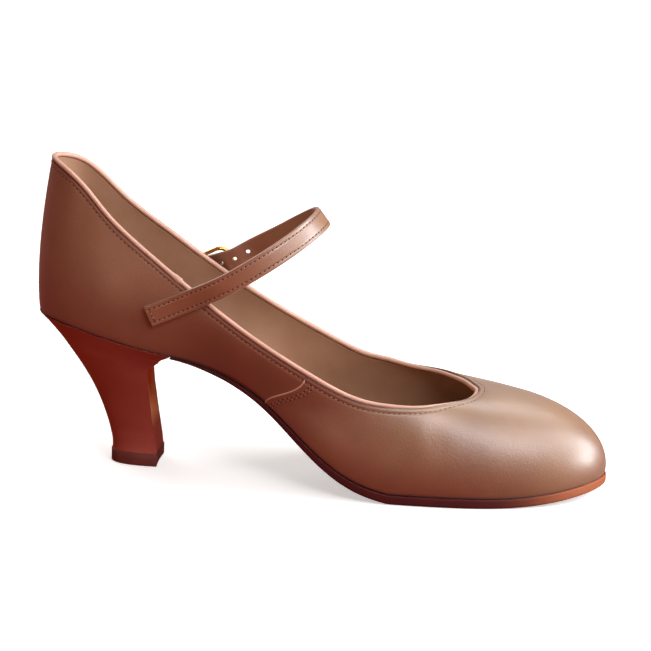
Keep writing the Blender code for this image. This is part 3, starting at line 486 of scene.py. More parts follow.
upperLook = dict(
    columnsPerSection=20, rows=72, sharpDegrees=50, leather=0.0011, wall=0.0018, vampLap=0.0005,
    seamHalfStep=0.018, seamColumns=7,
    stitchDrop=0.0021,       # topline to the row of stitches
    stitchGroove=0.00016, grooveWidth=0.00045, welt=0.00012, weltWidth=0.0007, weltShare=0.45,
    baseTuck=0.0007, tuckReach=0.0007,
    # joinShade: painted shade, a dark line along the sole, under the topline bead and down the back seam
    backSeam=dict(depth=0.00028, width=0.016, joinShade=0.8, joinShadeWidth=0.0128, reach=0.036, columns=13),
    joinShade=0.8, joinShadeAtBase=0.0006, joinShadeAtTop=0.0003,
    lining=dict(gap=0.00004, columnsPerSection=10, rows=40),
    # painted shade: its depth behind, where it fades ahead and how far the fade slants with height;
    # a painted highlight that makes it paler over the heel; painted shade low down, weaker at the toe
    paintedShadeLook=dict(behind=0.95, fade=(0.104, 0.146), slant=0.9, wearAndPaintedLight=0.42, paintedHighlightUp=(0.010, 0.030),
                 paintedHighlightAhead=(0.010, 0.045), lowReach=0.019, toeLess=0.65, toe=(0.13, 0.18)),
    creases=(                # section, share of the height, along, up, depth: soft flex marks
        (9.6, 0.52, 0.34, 0.16, 0.00022), (10.2, 0.6, 0.22, 0.18, -0.00018), (10.7, 0.5, 0.26, 0.18, 0.0002),
        (19.3, 0.52, 0.3, 0.18, 0.00022), (20.0, 0.6, 0.24, 0.18, -0.00018), (20.6, 0.52, 0.3, 0.16, 0.0002),
        (5.2, 0.45, 0.9, 0.3, 0.00028), (3.0, 0.62, 1.2, 0.35, -0.00022), (25.2, 0.45, 0.9, 0.3, 0.00028),
        (27.4, 0.6, 1.2, 0.35, -0.00022), (12.6, 0.55, 0.8, 0.25, -0.0002), (17.4, 0.55, 0.8, 0.25, 0.0002)))


def fromBack(at):
    # distance from the back seam, in sections, on either side of it
    return np.minimum(at, sectionCount - at)


def upperDetail(at, rise, points):
    # height to add along the normal: the vamp's lap and the welt, less the stitch groove, the
    # tuck at the sole, the back seam and the flex marks, each a soft hill of its own width
    look = upperLook
    steps = np.linalg.norm(np.diff(points, axis=0), axis=2)
    fromBase = np.concatenate((np.zeros((1, len(at))), np.cumsum(steps, axis=0)))
    fromTop = fromBase[-1] - fromBase
    half = look["seamHalfStep"]
    inner, outer = (smoothStep(last[seam] - half, last[seam] + half, at)
                    for seam in ("innerSeam", "outerSeam"))
    height = np.tile(inner * (1 - outer) * look["vampLap"], (len(rise), 1))
    height -= look["stitchGroove"] * bump(fromTop, look["stitchDrop"], look["grooveWidth"])
    height += look["welt"] * bump(fromTop, look["stitchDrop"] * look["weltShare"], look["weltWidth"])
    height -= look["baseTuck"] * np.exp(-fromBase / look["tuckReach"])
    height -= look["backSeam"]["depth"] * bump(fromBack(at), 0.0, look["backSeam"]["width"])
    for section, share, along, tall, depth in look["creases"]:
        height -= depth * bump(at[None, :], section, along) * bump(rise[:, None], share, tall)
    return height, fromBase, fromTop


def paintedShadeTone(points):
    # 0 to 1: how deep the painted shade is. Behind, a fade along x + slant * z, less a painted highlight
    # over the heel; low down, e to the minus (z / reach) squared, less at the toe; the deeper of the two
    look = upperLook["paintedShadeLook"]
    x, z = points[..., 0], points[..., 2] - featherHeight(points[..., 0])
    above = np.maximum(z, 0)
    behind = look["behind"] * (1 - smoothStep(*look["fade"], x + look["slant"] * above))
    # painted highlight: less painted shade over the heel, above the quarter's lowest part
    wearAndPaintedLight = look["wearAndPaintedLight"] * smoothStep(*look["paintedHighlightUp"], z) * (1 - smoothStep(*look["paintedHighlightAhead"], x))
    lowShade = np.exp(-(above / look["lowReach"])**2) * (1.0 - look["toeLess"] * smoothStep(*look["toe"], x))
    return np.clip(np.maximum(behind * (1 - wearAndPaintedLight), lowShade), 0, 1)


def upperColumns():
    # even columns, with more of them at the side seams and the back seam
    look, back = upperLook, upperLook["backSeam"]
    extra = np.linspace(-1, 1, look["seamColumns"]) * look["seamHalfStep"]
    seams = [last[seam] + extra for seam in ("innerSeam", "outerSeam")]
    nearBack = np.linspace(-back["reach"], back["reach"], back["columns"]) % sectionCount
    return np.unique(np.round(np.concatenate((evenColumns(look["columnsPerSection"]), *seams, nearBack)), 5))


def baseEdge(at, depth):
    # the sole line, moved inwards in plan and set at the height of the sole there
    edge = upperOuter(at, [0.0])[0, :, :2] - depth * planNormals(at, 0)
    return np.column_stack((edge, featherHeight(edge[:, 0])))


upperAt, upperRise = upperColumns(), easedSteps(upperLook["rows"])
outerNormal = upperNormals(upperAt, upperRise)
outerFace = upperOuter(upperAt, upperRise)
detail, fromBase, fromTop = upperDetail(upperAt, upperRise, outerFace)
outerSkin = outerFace + detail[..., None] * outerNormal
outerSkin[0, :, 2] = featherHeight(outerSkin[0, :, 0])


def makeUpper():
    # the outer skin and, one leather's thickness inside it and with a third of the rows, the
    # hidden back of the leather
    look, back = upperLook, upperLook["backSeam"]
    middleSkin = upperSkin(upperAt, upperRise[::-3], -look["leather"])
    middleSkin[-1] = baseEdge(upperAt, look["leather"])
    wall, none = np.concatenate((outerSkin, middleSkin)), np.zeros(middleSkin.shape[:2])
    # painted shade: a dark line at the sole, under the bead and down the back seam
    shadeInJoins = np.maximum(bump(fromBase, 0.0, look["joinShadeAtBase"]), bump(fromTop, 0.0, look["joinShadeAtTop"]))
    shadeInJoins = np.maximum(shadeInJoins, back["joinShade"] * bump(fromBack(upperAt), 0.0, back["joinShadeWidth"])[None, :])
    # painted shade, deeper and redder behind and low down, less under a painted highlight over the heel
    tones = {"depth": np.concatenate((paintedShadeTone(outerSkin), none)),
             "joinShade": np.concatenate((look["joinShade"] * shadeInJoins, none))}
    return makePiece("upperLeather", wall, gridQuads(len(wall), len(upperAt), True, True), finishes["upper"],
                     "upper", look["sharpDegrees"], tones)


def makeLining():
    # a skin of its own between the leather and the inside face of the wall
    look, skins = upperLook["lining"], []
    at, rise = evenColumns(look["columnsPerSection"]), easedSteps(look["rows"])
    sides = (upperLook["leather"] + look["gap"], rise, 0), (upperLook["wall"], rise[::-1], -1)
    for depth, rises, row in sides:
        skin = upperSkin(at, rises, -depth)
        skin[row] = baseEdge(at, depth)
        skins.append(skin)
    lining = np.concatenate(skins)
    return makePiece("upperLining", lining, gridQuads(len(lining), len(at), True, True), finishes["lining"],
                     "upper", upperLook["sharpDegrees"])


makeUpper()
makeLining()

# the bead is slimmer over the vamp, and its ends overlap just behind the strap
bindingLook = dict(
    width=0.0023, depth=0.0019, lift=0.00012, squareness=0.85, slim=0.36, slimAt=4.2, slimWidth=1.9,
    columnsPerSection=20, sides=18, joinAt=4.79, joinHalf=0.006, joinHeight=0.42, joinLength=0.30,
    joinColumns=(-0.012, -0.004, 0.004, 0.012), wave=0.03, waveTurns=(9.1, 3.7))


def makeBinding():
    # rounded bead carried round the topline: width * |cos|^0.85 across by depth * sin upwards.
    # Past the join the size steps up and then eases away, and a faint wave runs all round
    look, join = bindingLook, bindingLook["joinAt"]
    at = np.concatenate((evenColumns(look["columnsPerSection"]), join + np.array(look["joinColumns"])))
    at = np.unique(np.round(at, 5))
    edge, normal = upperOuter(at, [1.0])[0], upperNormals(at, [1.0])[0]
    ahead = unit(np.roll(edge, -1, 0) - np.roll(edge, 1, 0))
    upwards = np.cross(normal, ahead)
    slim = 1 - look["slim"] * (bump(at, last["innerSeam"] + look["slimAt"], look["slimWidth"])
                               + bump(at, last["outerSeam"] - look["slimAt"], look["slimWidth"]))
    rise = look["depth"] / 2 * slim + look["lift"]
    middle = edge - normal * upperLook["wall"] / 2 + upwards * rise[:, None]
    behind, half = 2 * join - at, look["joinHalf"]
    step = smoothStep(join - half, join + half, behind)
    step *= 1 - smoothStep(join, join + look["joinLength"], behind)
    wave = look["wave"] * np.prod([np.sin(at * turns) for turns in look["waveTurns"]], axis=0)
    size = (slim * (1 + look["joinHeight"] * step + wave))[:, None, None]
    turn = fullTurn(look["sides"])
    across = np.sign(np.cos(turn)) * np.abs(np.cos(turn))**look["squareness"] * look["width"] / 2
    out = np.sin(turn) * look["depth"] / 2
    points = middle[:, None] + size * (across[None, :, None] * normal[:, None]
                                       + out[None, :, None] * upwards[:, None])
    return makePiece("toplineBinding", points, gridQuads(len(at), len(turn), True, True), finishes["binding"],
                     "topline_binding")


makeBinding()

seamLook = dict(width=0.00075, height=0.00034, sides=10, lift=0.00032, behind=0.012, points=90,
                span=(0.015, 0.97), taper=12, tip=0.02, rows=(0.105, 0.168), rowEnds=3)


def seamPath(section, lift):
    # line up the wall from the sole to the topline at one section, with its normals
    rise = np.linspace(*seamLook["span"], seamLook["points"])
    return upperSkin([section], rise, lift)[:, 0], upperNormals([section], rise)[:, 0]


def makeSeamEdge(name, section):
    # the vamp's turned edge, a pale half-round line that tapers at both ends
    look = seamLook
    path, normal = seamPath(section, look["lift"])
    side = np.cross(unit(np.gradient(path, axis=0)), normal)
    turn = fullTurn(look["sides"])[None, :, None]
    taper = np.linspace(0, look["taper"], len(path))
    size = np.minimum(1, np.minimum(taper, taper[::-1]))[:, None, None] + look["tip"]
    points = path[:, None] + size * (np.cos(turn) * side[:, None] * look["width"] / 2
                                     + np.sin(turn) * normal[:, None] * look["height"])
    return makePiece(name, points, closedLoft(points), finishes["binding"], None)


makeSeamEdge("sideSeamEdgeInner", last["innerSeam"] - seamLook["behind"])
makeSeamEdge("sideSeamEdgeOuter", last["outerSeam"] + seamLook["behind"])
print("upper made")


# Stitches

stitchLook = dict(
    pitch=0.0021, rings=7, sides=6, endSize=0.03,
    thread=dict(length=0.00150, width=0.00042, flat=0.8, dip=0.00016, sunk=0.00006),
    hole=dict(length=0.00072, width=0.00058, flat=0.30, dip=0.0, sunk=0.00002))


def stitchRow(line, closed):
    # line holds places and normals. Gives the rows of needle holes and of the stitches between
    # them, at an even pitch with the whole number that fits: place, normal, direction
    length = runLength(line[:, :3])
    table = np.column_stack((line, np.gradient(line[:, :3], axis=0)))
    count = int(round(length[-1] / stitchLook["pitch"]))
    pitch = length[-1] / count
    marks = np.arange(count if closed else count + 1) * pitch, (np.arange(count) + 0.5) * pitch
    return [np.column_stack([np.interp(at, length, column) for column in table.T]) for at in marks]


def makeStitches(name, rows, look, material):
    # capsules that bend down at both ends: the radius goes with the root of 1 - s^4, and the
    # drop is dip * s^4, for s from -1 to 1 along the stitch
    rings, sides = stitchLook["rings"], stitchLook["sides"]
    s, turn = np.linspace(-1, 1, rings)[:, None], fullTurn(sides)
    radius = look["width"] / 2 * np.sqrt(np.clip(1 - s**4, stitchLook["endSize"], 1))
    height = radius * np.sin(turn) * look["flat"] - s**4 * look["dip"] - look["sunk"]
    local = np.stack(np.broadcast_arrays(s * look["length"] / 2, radius * np.cos(turn), height), -1)
    local = local.reshape(-1, 3)
    out = unit(rows[:, 3:6])
    along = unit(rows[:, 6:] - out * np.sum(rows[:, 6:] * out, axis=1, keepdims=True))
    axes = np.stack((along, np.cross(out, along), out), 1)
    points = rows[:, None, :3] + np.einsum("pk,nkc->npc", local, axes)
    base = (np.arange(len(rows)) * len(local))[:, None, None]
    ends = np.stack((np.arange(sides), len(local) - sides + np.arange(sides)))
    faces = (gridQuads(rings, sides, False, True)[None] + base).reshape(-1, 4).tolist()
    faces += (ends[None] + base).reshape(-1, sides).tolist()
    return makePiece(name, points, faces, material, None)


def sew(name, lines, closed):
    holes, stitches = (np.concatenate(rows) for rows in zip(*(stitchRow(line, closed) for line in lines)))
    makeStitches(name + "Thread", stitches, stitchLook["thread"], finishes["thread"])
    makeStitches(name + "Holes", holes, stitchLook["hole"], finishes["hole"])


def toplineRow():
    # the row runs a fixed distance below the topline, read on each column of the skin
    index, column = np.arange(len(upperRise)), np.arange(len(upperAt))
    rise = np.array([np.interp(-upperLook["stitchDrop"], -fromTop[:, c], index) for c in column])
    low = np.floor(rise).astype(int)
    part = (rise - low)[:, None]
    place = outerSkin[low, column] * (1 - part) + outerSkin[low + 1, column] * part
    line = np.column_stack((place, outerNormal[low, column]))
    return np.concatenate((line, line[:1]))


sew("topline", [toplineRow()], True)
for name, seam, side in (("sideSeamInner", "innerSeam", 1), ("sideSeamOuter", "outerSeam", -1)):
    # two rows on the vamp's side of each side seam, which stop short of its ends
    paths = [seamPath(last[seam] + side * away, upperLook["vampLap"]) for away in seamLook["rows"]]
    ends = slice(seamLook["rowEnds"], -seamLook["rowEnds"])
    sew(name, [np.column_stack(path)[ends] for path in paths], False)
print("stitches made")


# Sole, sock, heel and top piece

weldReach = 1e-6


def plateLoops(rings, start, stations, across):
    # closed cross-sections of a plate: inner edge down, bottom across, outer edge up, top across.
    # The stations lie closer together towards a rounded end; a start makes the back end flat
    sides = []
    for offset, height in rings:
        inner, outer = outlineSide(-1, offset), outlineSide(1, offset)
        first = max(inner[0, 0], outer[0, 0]) if start is None else start
        final = min(inner[-1, 0], outer[-1, 0])
        fromFlat = np.sin(np.linspace(0, 1, stations) * math.pi / 2)
        x = first + (final - first) * (easedSteps(stations) if start is None else fromFlat)
        pair = [np.column_stack((x, np.interp(x, *side.T[:2]), height(x))) for side in (inner, outer)]
        tip = (pair[0][-1, 1] + pair[1][-1, 1]) / 2
        pair[0][-1, 1] = pair[1][-1, 1] = tip
        if start is None:
            pair[0][0, 1] = pair[1][0, 1] = 0.0
        sides.append(pair)
    inner = np.stack([pair[0] for pair in sides], 1)
    outer = np.stack([pair[1] for pair in sides], 1)
    mix = np.linspace(0, 1, across + 2)[1:-1][None, :, None]
    bottom = inner[:, -1:] * (1 - mix) + outer[:, -1:] * mix
    top = outer[:, :1] * (1 - mix) + inner[:, :1] * mix
    return np.concatenate((inner, bottom, outer[:, ::-1], top), 1)


soleLook = dict(
    margin=0.0010, edgeRound=0.0009, gap=0.0003, gapAbove=0.00009, lipAhead=0.0156, stations=220, across=14,
    # shadeFromBall: where the painted shade on the sole fades out towards the toe
    sharpDegrees=50, skive=0.65, skiveSpan=(0.0156, 0.0376), shadeFromBall=(0.146, 0.190),
    # inset from the margin and level of the shoulder's two rings under the upper
    shoulder=((0.0008, 0.86), (0.0006, 0.90)),
    # the two rims: first and last angle, rings, share of the rounding, level, change of level
    rims=((90, 0, 5, 0.35, 0.86, 0.14), (0, 90, 7, 1.00, 0.26, -0.26)))
sockLook = dict(inset=0.0024, height=0.0026, stations=200, across=16, sharpDegrees=50,
                rim=((0.0006, 0.0), (0.0002, 0.00012), (0.0, 0.0005)))


def makeSole():
    # rounded edge: the inset follows 1 - cos and the level follows sin round each rim
    look = soleLook

    def top(x):
        return featherHeight(x) - look["gapAbove"]

    def level(share):
        # the back end is skived thin where it meets the heel
        def height(x):
            skive = look["skive"] * (1 - smoothStep(*look["skiveSpan"], x))
            return soleBottom(x) + (top(x) - soleBottom(x)) * (share + (1 - share) * skive)
        return height

    rings = [(0.0, top)] + [(look["margin"] - inset, level(share)) for inset, share in look["shoulder"]]
    for start, end, count, part, share, change in look["rims"]:
        for angle in np.radians(np.linspace(start, end, count)):
            inset = look["edgeRound"] * part * (1 - math.cos(angle))
            rings.append((look["margin"] - inset, level(share + change * math.sin(angle))))
    loops = plateLoops(rings, look["lipAhead"] + look["gap"], look["stations"], look["across"])
    # painted shade: the sole darker from the ball back
    depth = 1 - smoothStep(*look["shadeFromBall"], loops[..., 0])
    return makePiece("soleLeather", loops, closedLoft(loops), finishes["sole"], "outsole",
                     look["sharpDegrees"], {"depth": depth}, weldReach)


def makeSock():
    # sock leather at one height over the insole board, with its rim eased
    look = sockLook
    rings = [(-look["inset"] - out, lambda x, down=down: featherHeight(x) + look["height"] - down)
             for out, down in look["rim"]]
    rings.append((-look["inset"], featherHeight))
    loops = plateLoops(rings, None, look["stations"], look["across"])
    return makePiece("sockLining", loops, closedLoft(loops), finishes["sock"], "insole",
                     look["sharpDegrees"], weld=weldReach)


makeSole()
makeSock()

heelLook = dict(
    tipLength=0.0190, tipWidth=0.0190, turn=math.radians(3), lipAhead=0.0156, topPiece=0.0052,
    margin=0.0004, squareness=2.5, sidePoints=44, breastPoints=17, levels=90, levelPower=1.15,
    gapBelow=0.00009, gapAbove=0.00015, sharpDegrees=45, padSharpDegrees=50, ease=0.0003,
    litStripLow=(0.18, 0.37), litStripHigh=(0.80, 0.86),   # levels where the pale strip, painted light, fades in and out
    # thousandths: level, back, front, side, hollow
    table=(
        (0, 20, 0, 0, 20), (50, 22, -30, -10, 30), (170, 60, -180, 10, 50), (260, 105, -320, 60, 60),
        (350, 160, -460, 120, 80), (440, 225, -600, 190, 90), (550, 325, -780, 300, 90),
        (660, 450, -900, 430, 90), (760, 585, -970, 560, 80), (800, 643, -900, 623, 65),
        (831, 689, -660, 672, 50), (876, 762, -300, 750, 30), (923, 847, 130, 841, 10),
        (954, 903, 550, 903, 0), (981, 961, 830, 961, 0), (1000, 1000, 1000, 1000, 0)),
    # level and how far the inner corner of the breast stands forward
    lean=((0, -0.0008), (0.30, -0.0003), (0.55, 0.0012), (0.76, 0.0022), (0.90, 0.0018), (0.95, 0), (1, 0)))
seatInner, seatOuter = outlineSide(-1, 0.0), outlineSide(1, 0.0)


def heelLoop(level, back, front, side, hollow):
    # one D-shaped section: |x|^n + |y|^n = 1 behind, and in front a straight breast, dished by
    # hollow * 4a(1 - a) across. The tip is turned a little in plan
    look, tip = heelLook, heelLook["tipLength"] / 2
    xBack = -tip - back * (-seatInner[0, 0] - tip)
    xFront = tip + front * (look["lipAhead"] - tip)
    angle = np.linspace(0, math.pi / 2, look["sidePoints"])
    reach, spread = np.cos(angle)**(2 / look["squareness"]), np.sin(angle)**(2 / look["squareness"])
    x = xFront - (xFront - xBack) * reach
    seatX = look["lipAhead"] - (look["lipAhead"] - seatInner[0, 0]) * reach
    sides = []
    for sign, seat in ((-1, seatInner), (1, seatOuter)):
        atSeat = np.interp(seatX, seat[:, 0], seat[:, 1])
        atTip = sign * spread * look["tipWidth"] / 2
        forwards = np.interp(level, *np.array(look["lean"]).T) if sign < 0 else 0.0
        sides.append(np.column_stack((x + forwards * (1 - reach), atTip + side * (atSeat - atTip))))
    sides[0][0, 1] = sides[1][0, 1] = 0.0
    across = np.linspace(0, 1, look["breastPoints"] + 2)[1:-1, None]
    breast = sides[1][-1] + across * (sides[0][-1] - sides[1][-1])
    breast[:, 0] -= hollow * look["tipLength"] * 4 * across[:, 0] * (1 - across[:, 0])
    loop = np.concatenate((sides[1], breast, sides[0][:0:-1]))
    turn = look["turn"] * (1 - max(side, 0.0))
    loop = loop @ np.array(((math.cos(turn), math.sin(turn)), (-math.sin(turn), math.cos(turn))))
    bottom = look["topPiece"] + look["gapBelow"]
    height = bottom + level * (featherHeight(loop[:, 0]) - look["gapAbove"] - bottom)
    return np.column_stack((loop, height))


def makeHeel():
    # the listed rows are joined by smooth curves and lofted, at levels 1 - (1 - t)^1.15 that
    # crowd a little at the seat; the seat is closed in strips
    look, table = heelLook, np.array(heelLook["table"]) / 1000
    level = 1 - (1 - np.linspace(0, 1, look["levels"]))**look["levelPower"]
    rows = [level] + [smoothCurve(table[:, 0], table[:, k], level) for k in range(1, 5)]
    loops = np.array([heelLoop(*row) for row in np.column_stack(rows)])
    count, points = loops.shape[:2]
    top, half = (count - 1) * points, look["sidePoints"] - 1
    step = np.arange(half)
    outer, outerNext = top + step, top + step + 1
    inner, innerNext = top + (points - step) % points, top + points - step - 1
    strips = np.stack((outer, outerNext, innerNext, inner), 1).tolist()
    faces = gridQuads(count, points, False, True).tolist() + [list(range(points))]
    faces += strips[1:] + [strips[0][:3]] + [list(range(top + half, top + points - half + 1))]
    index = np.arange(points) - half
    onBreast = ((index >= 1) & (index < 1 + look["breastPoints"])).astype(float)
    # painted light: the breast strip brightest at middle height, fading out towards its top and bottom
    strip = smoothStep(*look["litStripLow"], level) * (1 - smoothStep(*look["litStripHigh"], level))
    return makePiece("heelCover", loops, faces, finishes["heel"], "heel",
                     look["sharpDegrees"], {"breast": strip[:, None] * onBreast[None, :]})


def makeTopPiece():
    # the pad follows the tip's own outline, a little larger, with its rims eased
    look, loops = heelLook, []
    first = heelLoop(*np.array(look["table"][0]) / 1000)[:, :2]
    spread = 1 + 2 * look["margin"] / look["tipWidth"]
    # inset in shares of the easing, then bottom or top, then the step from it
    for inset, end, rise in ((1, 0, 0), (0.3, 0, 0.3), (0, 0, 1), (0, 1, -1), (0.3, 1, -0.3), (1, 1, 0)):
        size = spread * (1 - inset * look["ease"] * 2 / look["tipWidth"])
        height = end * look["topPiece"] + rise * look["ease"]
        loops.append(np.column_stack((first * size, np.full(len(first), height))))
    loops = np.array(loops)
    return makePiece("topPiece", loops, closedLoft(loops), finishes["rubber"], "top_piece",
                     look["padSharpDegrees"])


makeHeel()
makeTopPiece()
print("sole and heel made")


# Strap, buckle and tab

strapLook = dict(
    width=0.0086, thickness=0.0020, rootAhead=0.0078, rootHeight=0.0684, crestAhead=0.0733,
    crestHeight=0.1066, halfInstep=0.0300, tiltRoot=math.radians(26), tiltCrest=math.radians(38),
    endBlend=1 / 6, stations=420, freeEnd=0.0165, riseAhead=0.78, beadClearance=0.0012,
    holeRadius=0.0009, holePitch=0.0060, holesAhead=3, prongHoleRadius=0.00135, prongHoleAhead=0.189,
    stitchInset=0.0016, edgeRound=0.0006,
    sharpDegrees=48, facePoints=33, cornerPoints=11, groove=0.00013, grooveWidth=0.00035, crown=0.00010,
    # red, shadeLessAhead and shadeFadeAhead: painted shade, strongest at the strap's two low ends
    faceDrop=0.00008, red=0.9, shadeLessAhead=0.6, shadeFadeAhead=(0.035, 0.075), threadDrop=0.00006,
    endRow=dict(span=(0.16, 0.84), points=12, lift=0.00012), punchReach=0.004, punchSides=28,
    # shares of the run ahead and of the climb, and the lift in gaps
    rootLine=((0.000, 0.000, 0), (0.120, 0.095, 0), (0.250, 0.201, 2)),
    # share of the run, side in half insteps, share of the climb
    line=((0.469, -1.00, 0.405), (0.686, -0.90, 0.637), (0.850, -0.68, 0.822), (0.959, -0.37, 0.952),
          (1, 0, 1), (0.959, 0.38, 0.945), (0.850, 0.70, 0.800), (0.690, 0.93, 0.602), (0.520, 1.05, 0.418)),
    freeLine=((0.6, 0.93), (1.0, 0.90)))   # share of the free end, share of the height over the bar
buckleLook = dict(
    ahead=0.0215, height=0.0740, slope=math.radians(24), wire=0.0016, length=0.0118, width=0.0120,
    hingeCorner=0.0024, frontCorner=0.0045, prong=0.0011, gap=0.0003, frontClearance=0.0006, sharpDegrees=60,
    frameSides=16, prongSides=14, cornerPoints=14, prongPoints=90, prongRest=0.4, curlFrom=-130, curlPoints=9,
    # shares of the length ahead, of the rise over the strap and of the fall to the front bar, lift
    prongLine=((0.168, 0.5, 0, 0), (0.196, 1, 0, -0.45), (0.266, 1, 0, 0.50), (0.500, 1, 0, 0.40),
               (0.800, 1, 0.75, 0.20), (1, 1, 1, 0), (1.121, 1, 1, -0.27)),
    tabWidth=0.0070, tabThickness=0.0011, tabLength=0.0165, tabTail=((1.6, 1.6), (2.6, 1.0)), tabFlat=8,
    tabTurn=(-90, 120, 15), tabPoints=260, slotWidth=0.0022, ribPitch=0.0009, ribDepth=0.00018,
    # half widths across, half thicknesses up, and whether the corner follows the ribs
    tabSection=((-1, -1, 0), (1, -1, 0), (1, 0.6, 0), (0.95, 1, 1), (0, 1, 1), (-0.95, 1, 1), (-1, 0.6, 0)))
gap, halfWire = buckleLook["gap"], buckleLook["wire"] / 2
halfStrap, tabLeather = strapLook["thickness"] / 2, buckleLook["tabThickness"]
# heights over the quarter at the buckle: the hinge bar, the strap over it, and under the front bar
barHeight = gap + tabLeather + gap + halfWire
strapOverBar = barHeight + halfWire + gap + tabLeather + gap + halfStrap
strapUnderFront = strapLook["beadClearance"] + halfStrap
frontBarHeight = strapUnderFront + halfStrap + buckleLook["frontClearance"] + halfWire


def buckleAxes():
    # origin at the hinge bar, forwards along the strap, across it, and outwards
    origin, normal = onQuarter(1, buckleLook["ahead"], buckleLook["height"], 0.0)
    forwards = np.array((math.cos(buckleLook["slope"]), 0.0, math.sin(buckleLook["slope"])))
    forwards = unit(forwards - normal * forwards.dot(normal))
    return origin, forwards, np.cross(forwards, normal), normal


hingeOrigin, hingeForwards, hingeAcross, hingeOut = buckleAxes()


def buckleLocal(points):
    # places given along, across and out from the hinge bar
    return hingeOrigin + np.asarray(points, float) @ np.stack((hingeForwards, hingeAcross, hingeOut))


def strapRoute():
    # the points that the strap's middle line passes: up the inner quarter, over the instep, down
    # to the buckle, under its front bar, over the hinge bar and on to the free end
    look, bar = strapLook, buckleLook
    run, climb = look["crestAhead"] - look["rootAhead"], look["crestHeight"] - look["rootHeight"]
    flat = gap + look["thickness"] / 2
    route = [onQuarter(-1, look["rootAhead"] + a * run, look["rootHeight"] + b * climb, flat + lift * gap)[0]
             for a, b, lift in look["rootLine"]]
    route += [(look["rootAhead"] + a * run, side * look["halfInstep"], look["rootHeight"] + b * climb)
              for a, side, b in look["line"]]
    length, pastBar = bar["length"], bar["tabThickness"] + bar["wire"]
    ends = [(length + pastBar, 0, strapUnderFront), (length, 0, strapUnderFront),
            (length * look["riseAhead"], 0, strapUnderFront + gap), (pastBar / 2, 0, strapOverBar),
            (-pastBar, 0, strapOverBar)]
    ends += [(-look["freeEnd"] * back, 0, strapOverBar * high) for back, high in look["freeLine"]]
    return np.concatenate((route, buckleLocal(ends)))


def smoothPath(points, count):
    # Catmull-Rom curve through the points, read at even lengths: half of 2b + (c - a) t +
    # (2a - 5b + 4c - d) t^2 + (3b - a - 3c + d) t^3 for four points a, b, c, d in a row
    points = np.asarray(points)
    padded = np.concatenate((2 * points[:1] - points[1:2], points, 2 * points[-1:] - points[-2:-1]))
    dense = np.linspace(0, len(points) - 1, curvePoints)
    i = np.minimum(dense.astype(int), len(points) - 2)
    t = (dense - i)[:, None]
    a, b, c, d = (padded[i + k] for k in range(4))
    curve = 0.5 * (2 * b + (c - a) * t + (2 * a - 5 * b + 4 * c - d) * t**2 + (3 * b - a - 3 * c + d) * t**3)
    length = runLength(curve)
    even = np.linspace(0, length[-1], count)
    return np.column_stack([np.interp(even, length, curve[:, k]) for k in range(3)])


def strapAxes(path):
    # the strap's width leans back over the instep and turns flat to the quarter at both ends
    tangent = unit(np.gradient(path, axis=0))
    near = np.clip(np.abs(path[:, 1]) / strapLook["halfInstep"], 0, 1)**2
    tilt = strapLook["tiltCrest"] + (strapLook["tiltRoot"] - strapLook["tiltCrest"]) * near
    lean = np.column_stack((-np.sin(tilt), np.zeros(len(path)), np.cos(tilt)))
    out = np.cross(tangent, lean)
    start = np.linspace(0, 1, len(path))[:, None]
    for share, end in ((start, onQuarter(-1, path[0, 0], path[0, 2], 0.0)[1]), (1 - start, hingeOut)):
        blend = np.clip(share / strapLook["endBlend"], 0, 1)
        out = out * blend + end * (1 - blend)
    across = unit(np.cross(out, tangent))
    return across, unit(np.cross(tangent, across))


strapPath = smoothPath(strapRoute(), strapLook["stations"])
strapAcross, strapOut = strapAxes(strapPath)
strapLength = runLength(strapPath)
prongFall = (strapUnderFront - strapOverBar) * strapLook["prongHoleAhead"]
prongAhead = strapLook["prongHoleAhead"] * buckleLook["length"]
prongHole = buckleLocal([(prongAhead, 0.0, strapOverBar + prongFall)])[0]


def strapProfile():
    # flat strip with rounded edges, a crown of 1 - (across / w)^2 and a shallow groove on its
    # face for each row of stitches; the plain underside has a quarter of the points
    look = strapLook
    w, t, r = look["width"] / 2, look["thickness"] / 2, look["edgeRound"]
    across = np.linspace(-w + r, w - r, look["facePoints"])
    groove = look["groove"] * bump(np.abs(across), w - look["stitchInset"], look["grooveWidth"])
    crown = look["crown"] * (1 - (across / w)**2)
    face = np.column_stack((across, t - groove + crown - look["faceDrop"]))
    corner = np.radians(np.linspace(90, -90, look["cornerPoints"]))[1:-1]
    high = np.sign(np.round(np.sin(corner), 9)) * (t - r) + r * np.sin(corner)
    right = np.column_stack((w - r + r * np.cos(corner), high))
    under = np.array([(place, -t) for place in across[::-4]])
    return np.concatenate((face, right, under, right[::-1] * (-1, 1)))


def punch(centre, direction, radius):
    # a cylinder: corners at centre +- half, plus radius * (cos(a) * side + sin(a) * other)
    direction = Vector(direction).normalized()
    side = np.array(direction.orthogonal().normalized())
    other = np.cross(np.array(direction), side)
    turn = fullTurn(strapLook["punchSides"])
    ring = centre + radius * (np.outer(np.cos(turn), side) + np.outer(np.sin(turn), other))
    half = np.array(direction) * strapLook["punchReach"]
    return np.stack((ring - half, ring + half))


def cutOut(piece, shapes, sharpDegrees):
    # holes and slots, cut with exact shapes and then made part of the mesh
    cutters = [addObject("cutter", newMesh("cutter", loops, closedLoft(loops))) for loops in shapes]
    for cutter in cutters:
        cut = piece.modifiers.new("hole", "BOOLEAN")
        cut.operation, cut.solver, cut.object = "DIFFERENCE", "EXACT", cutter
    bpy.context.view_layer.update()
    done = bpy.data.meshes.new_from_object(piece.evaluated_get(bpy.context.evaluated_depsgraph_get()))
    piece.modifiers.clear()
    piece.data = done
    for cutter in cutters:
        bpy.data.objects.remove(cutter)
    shadeMesh(done, sharpDegrees)


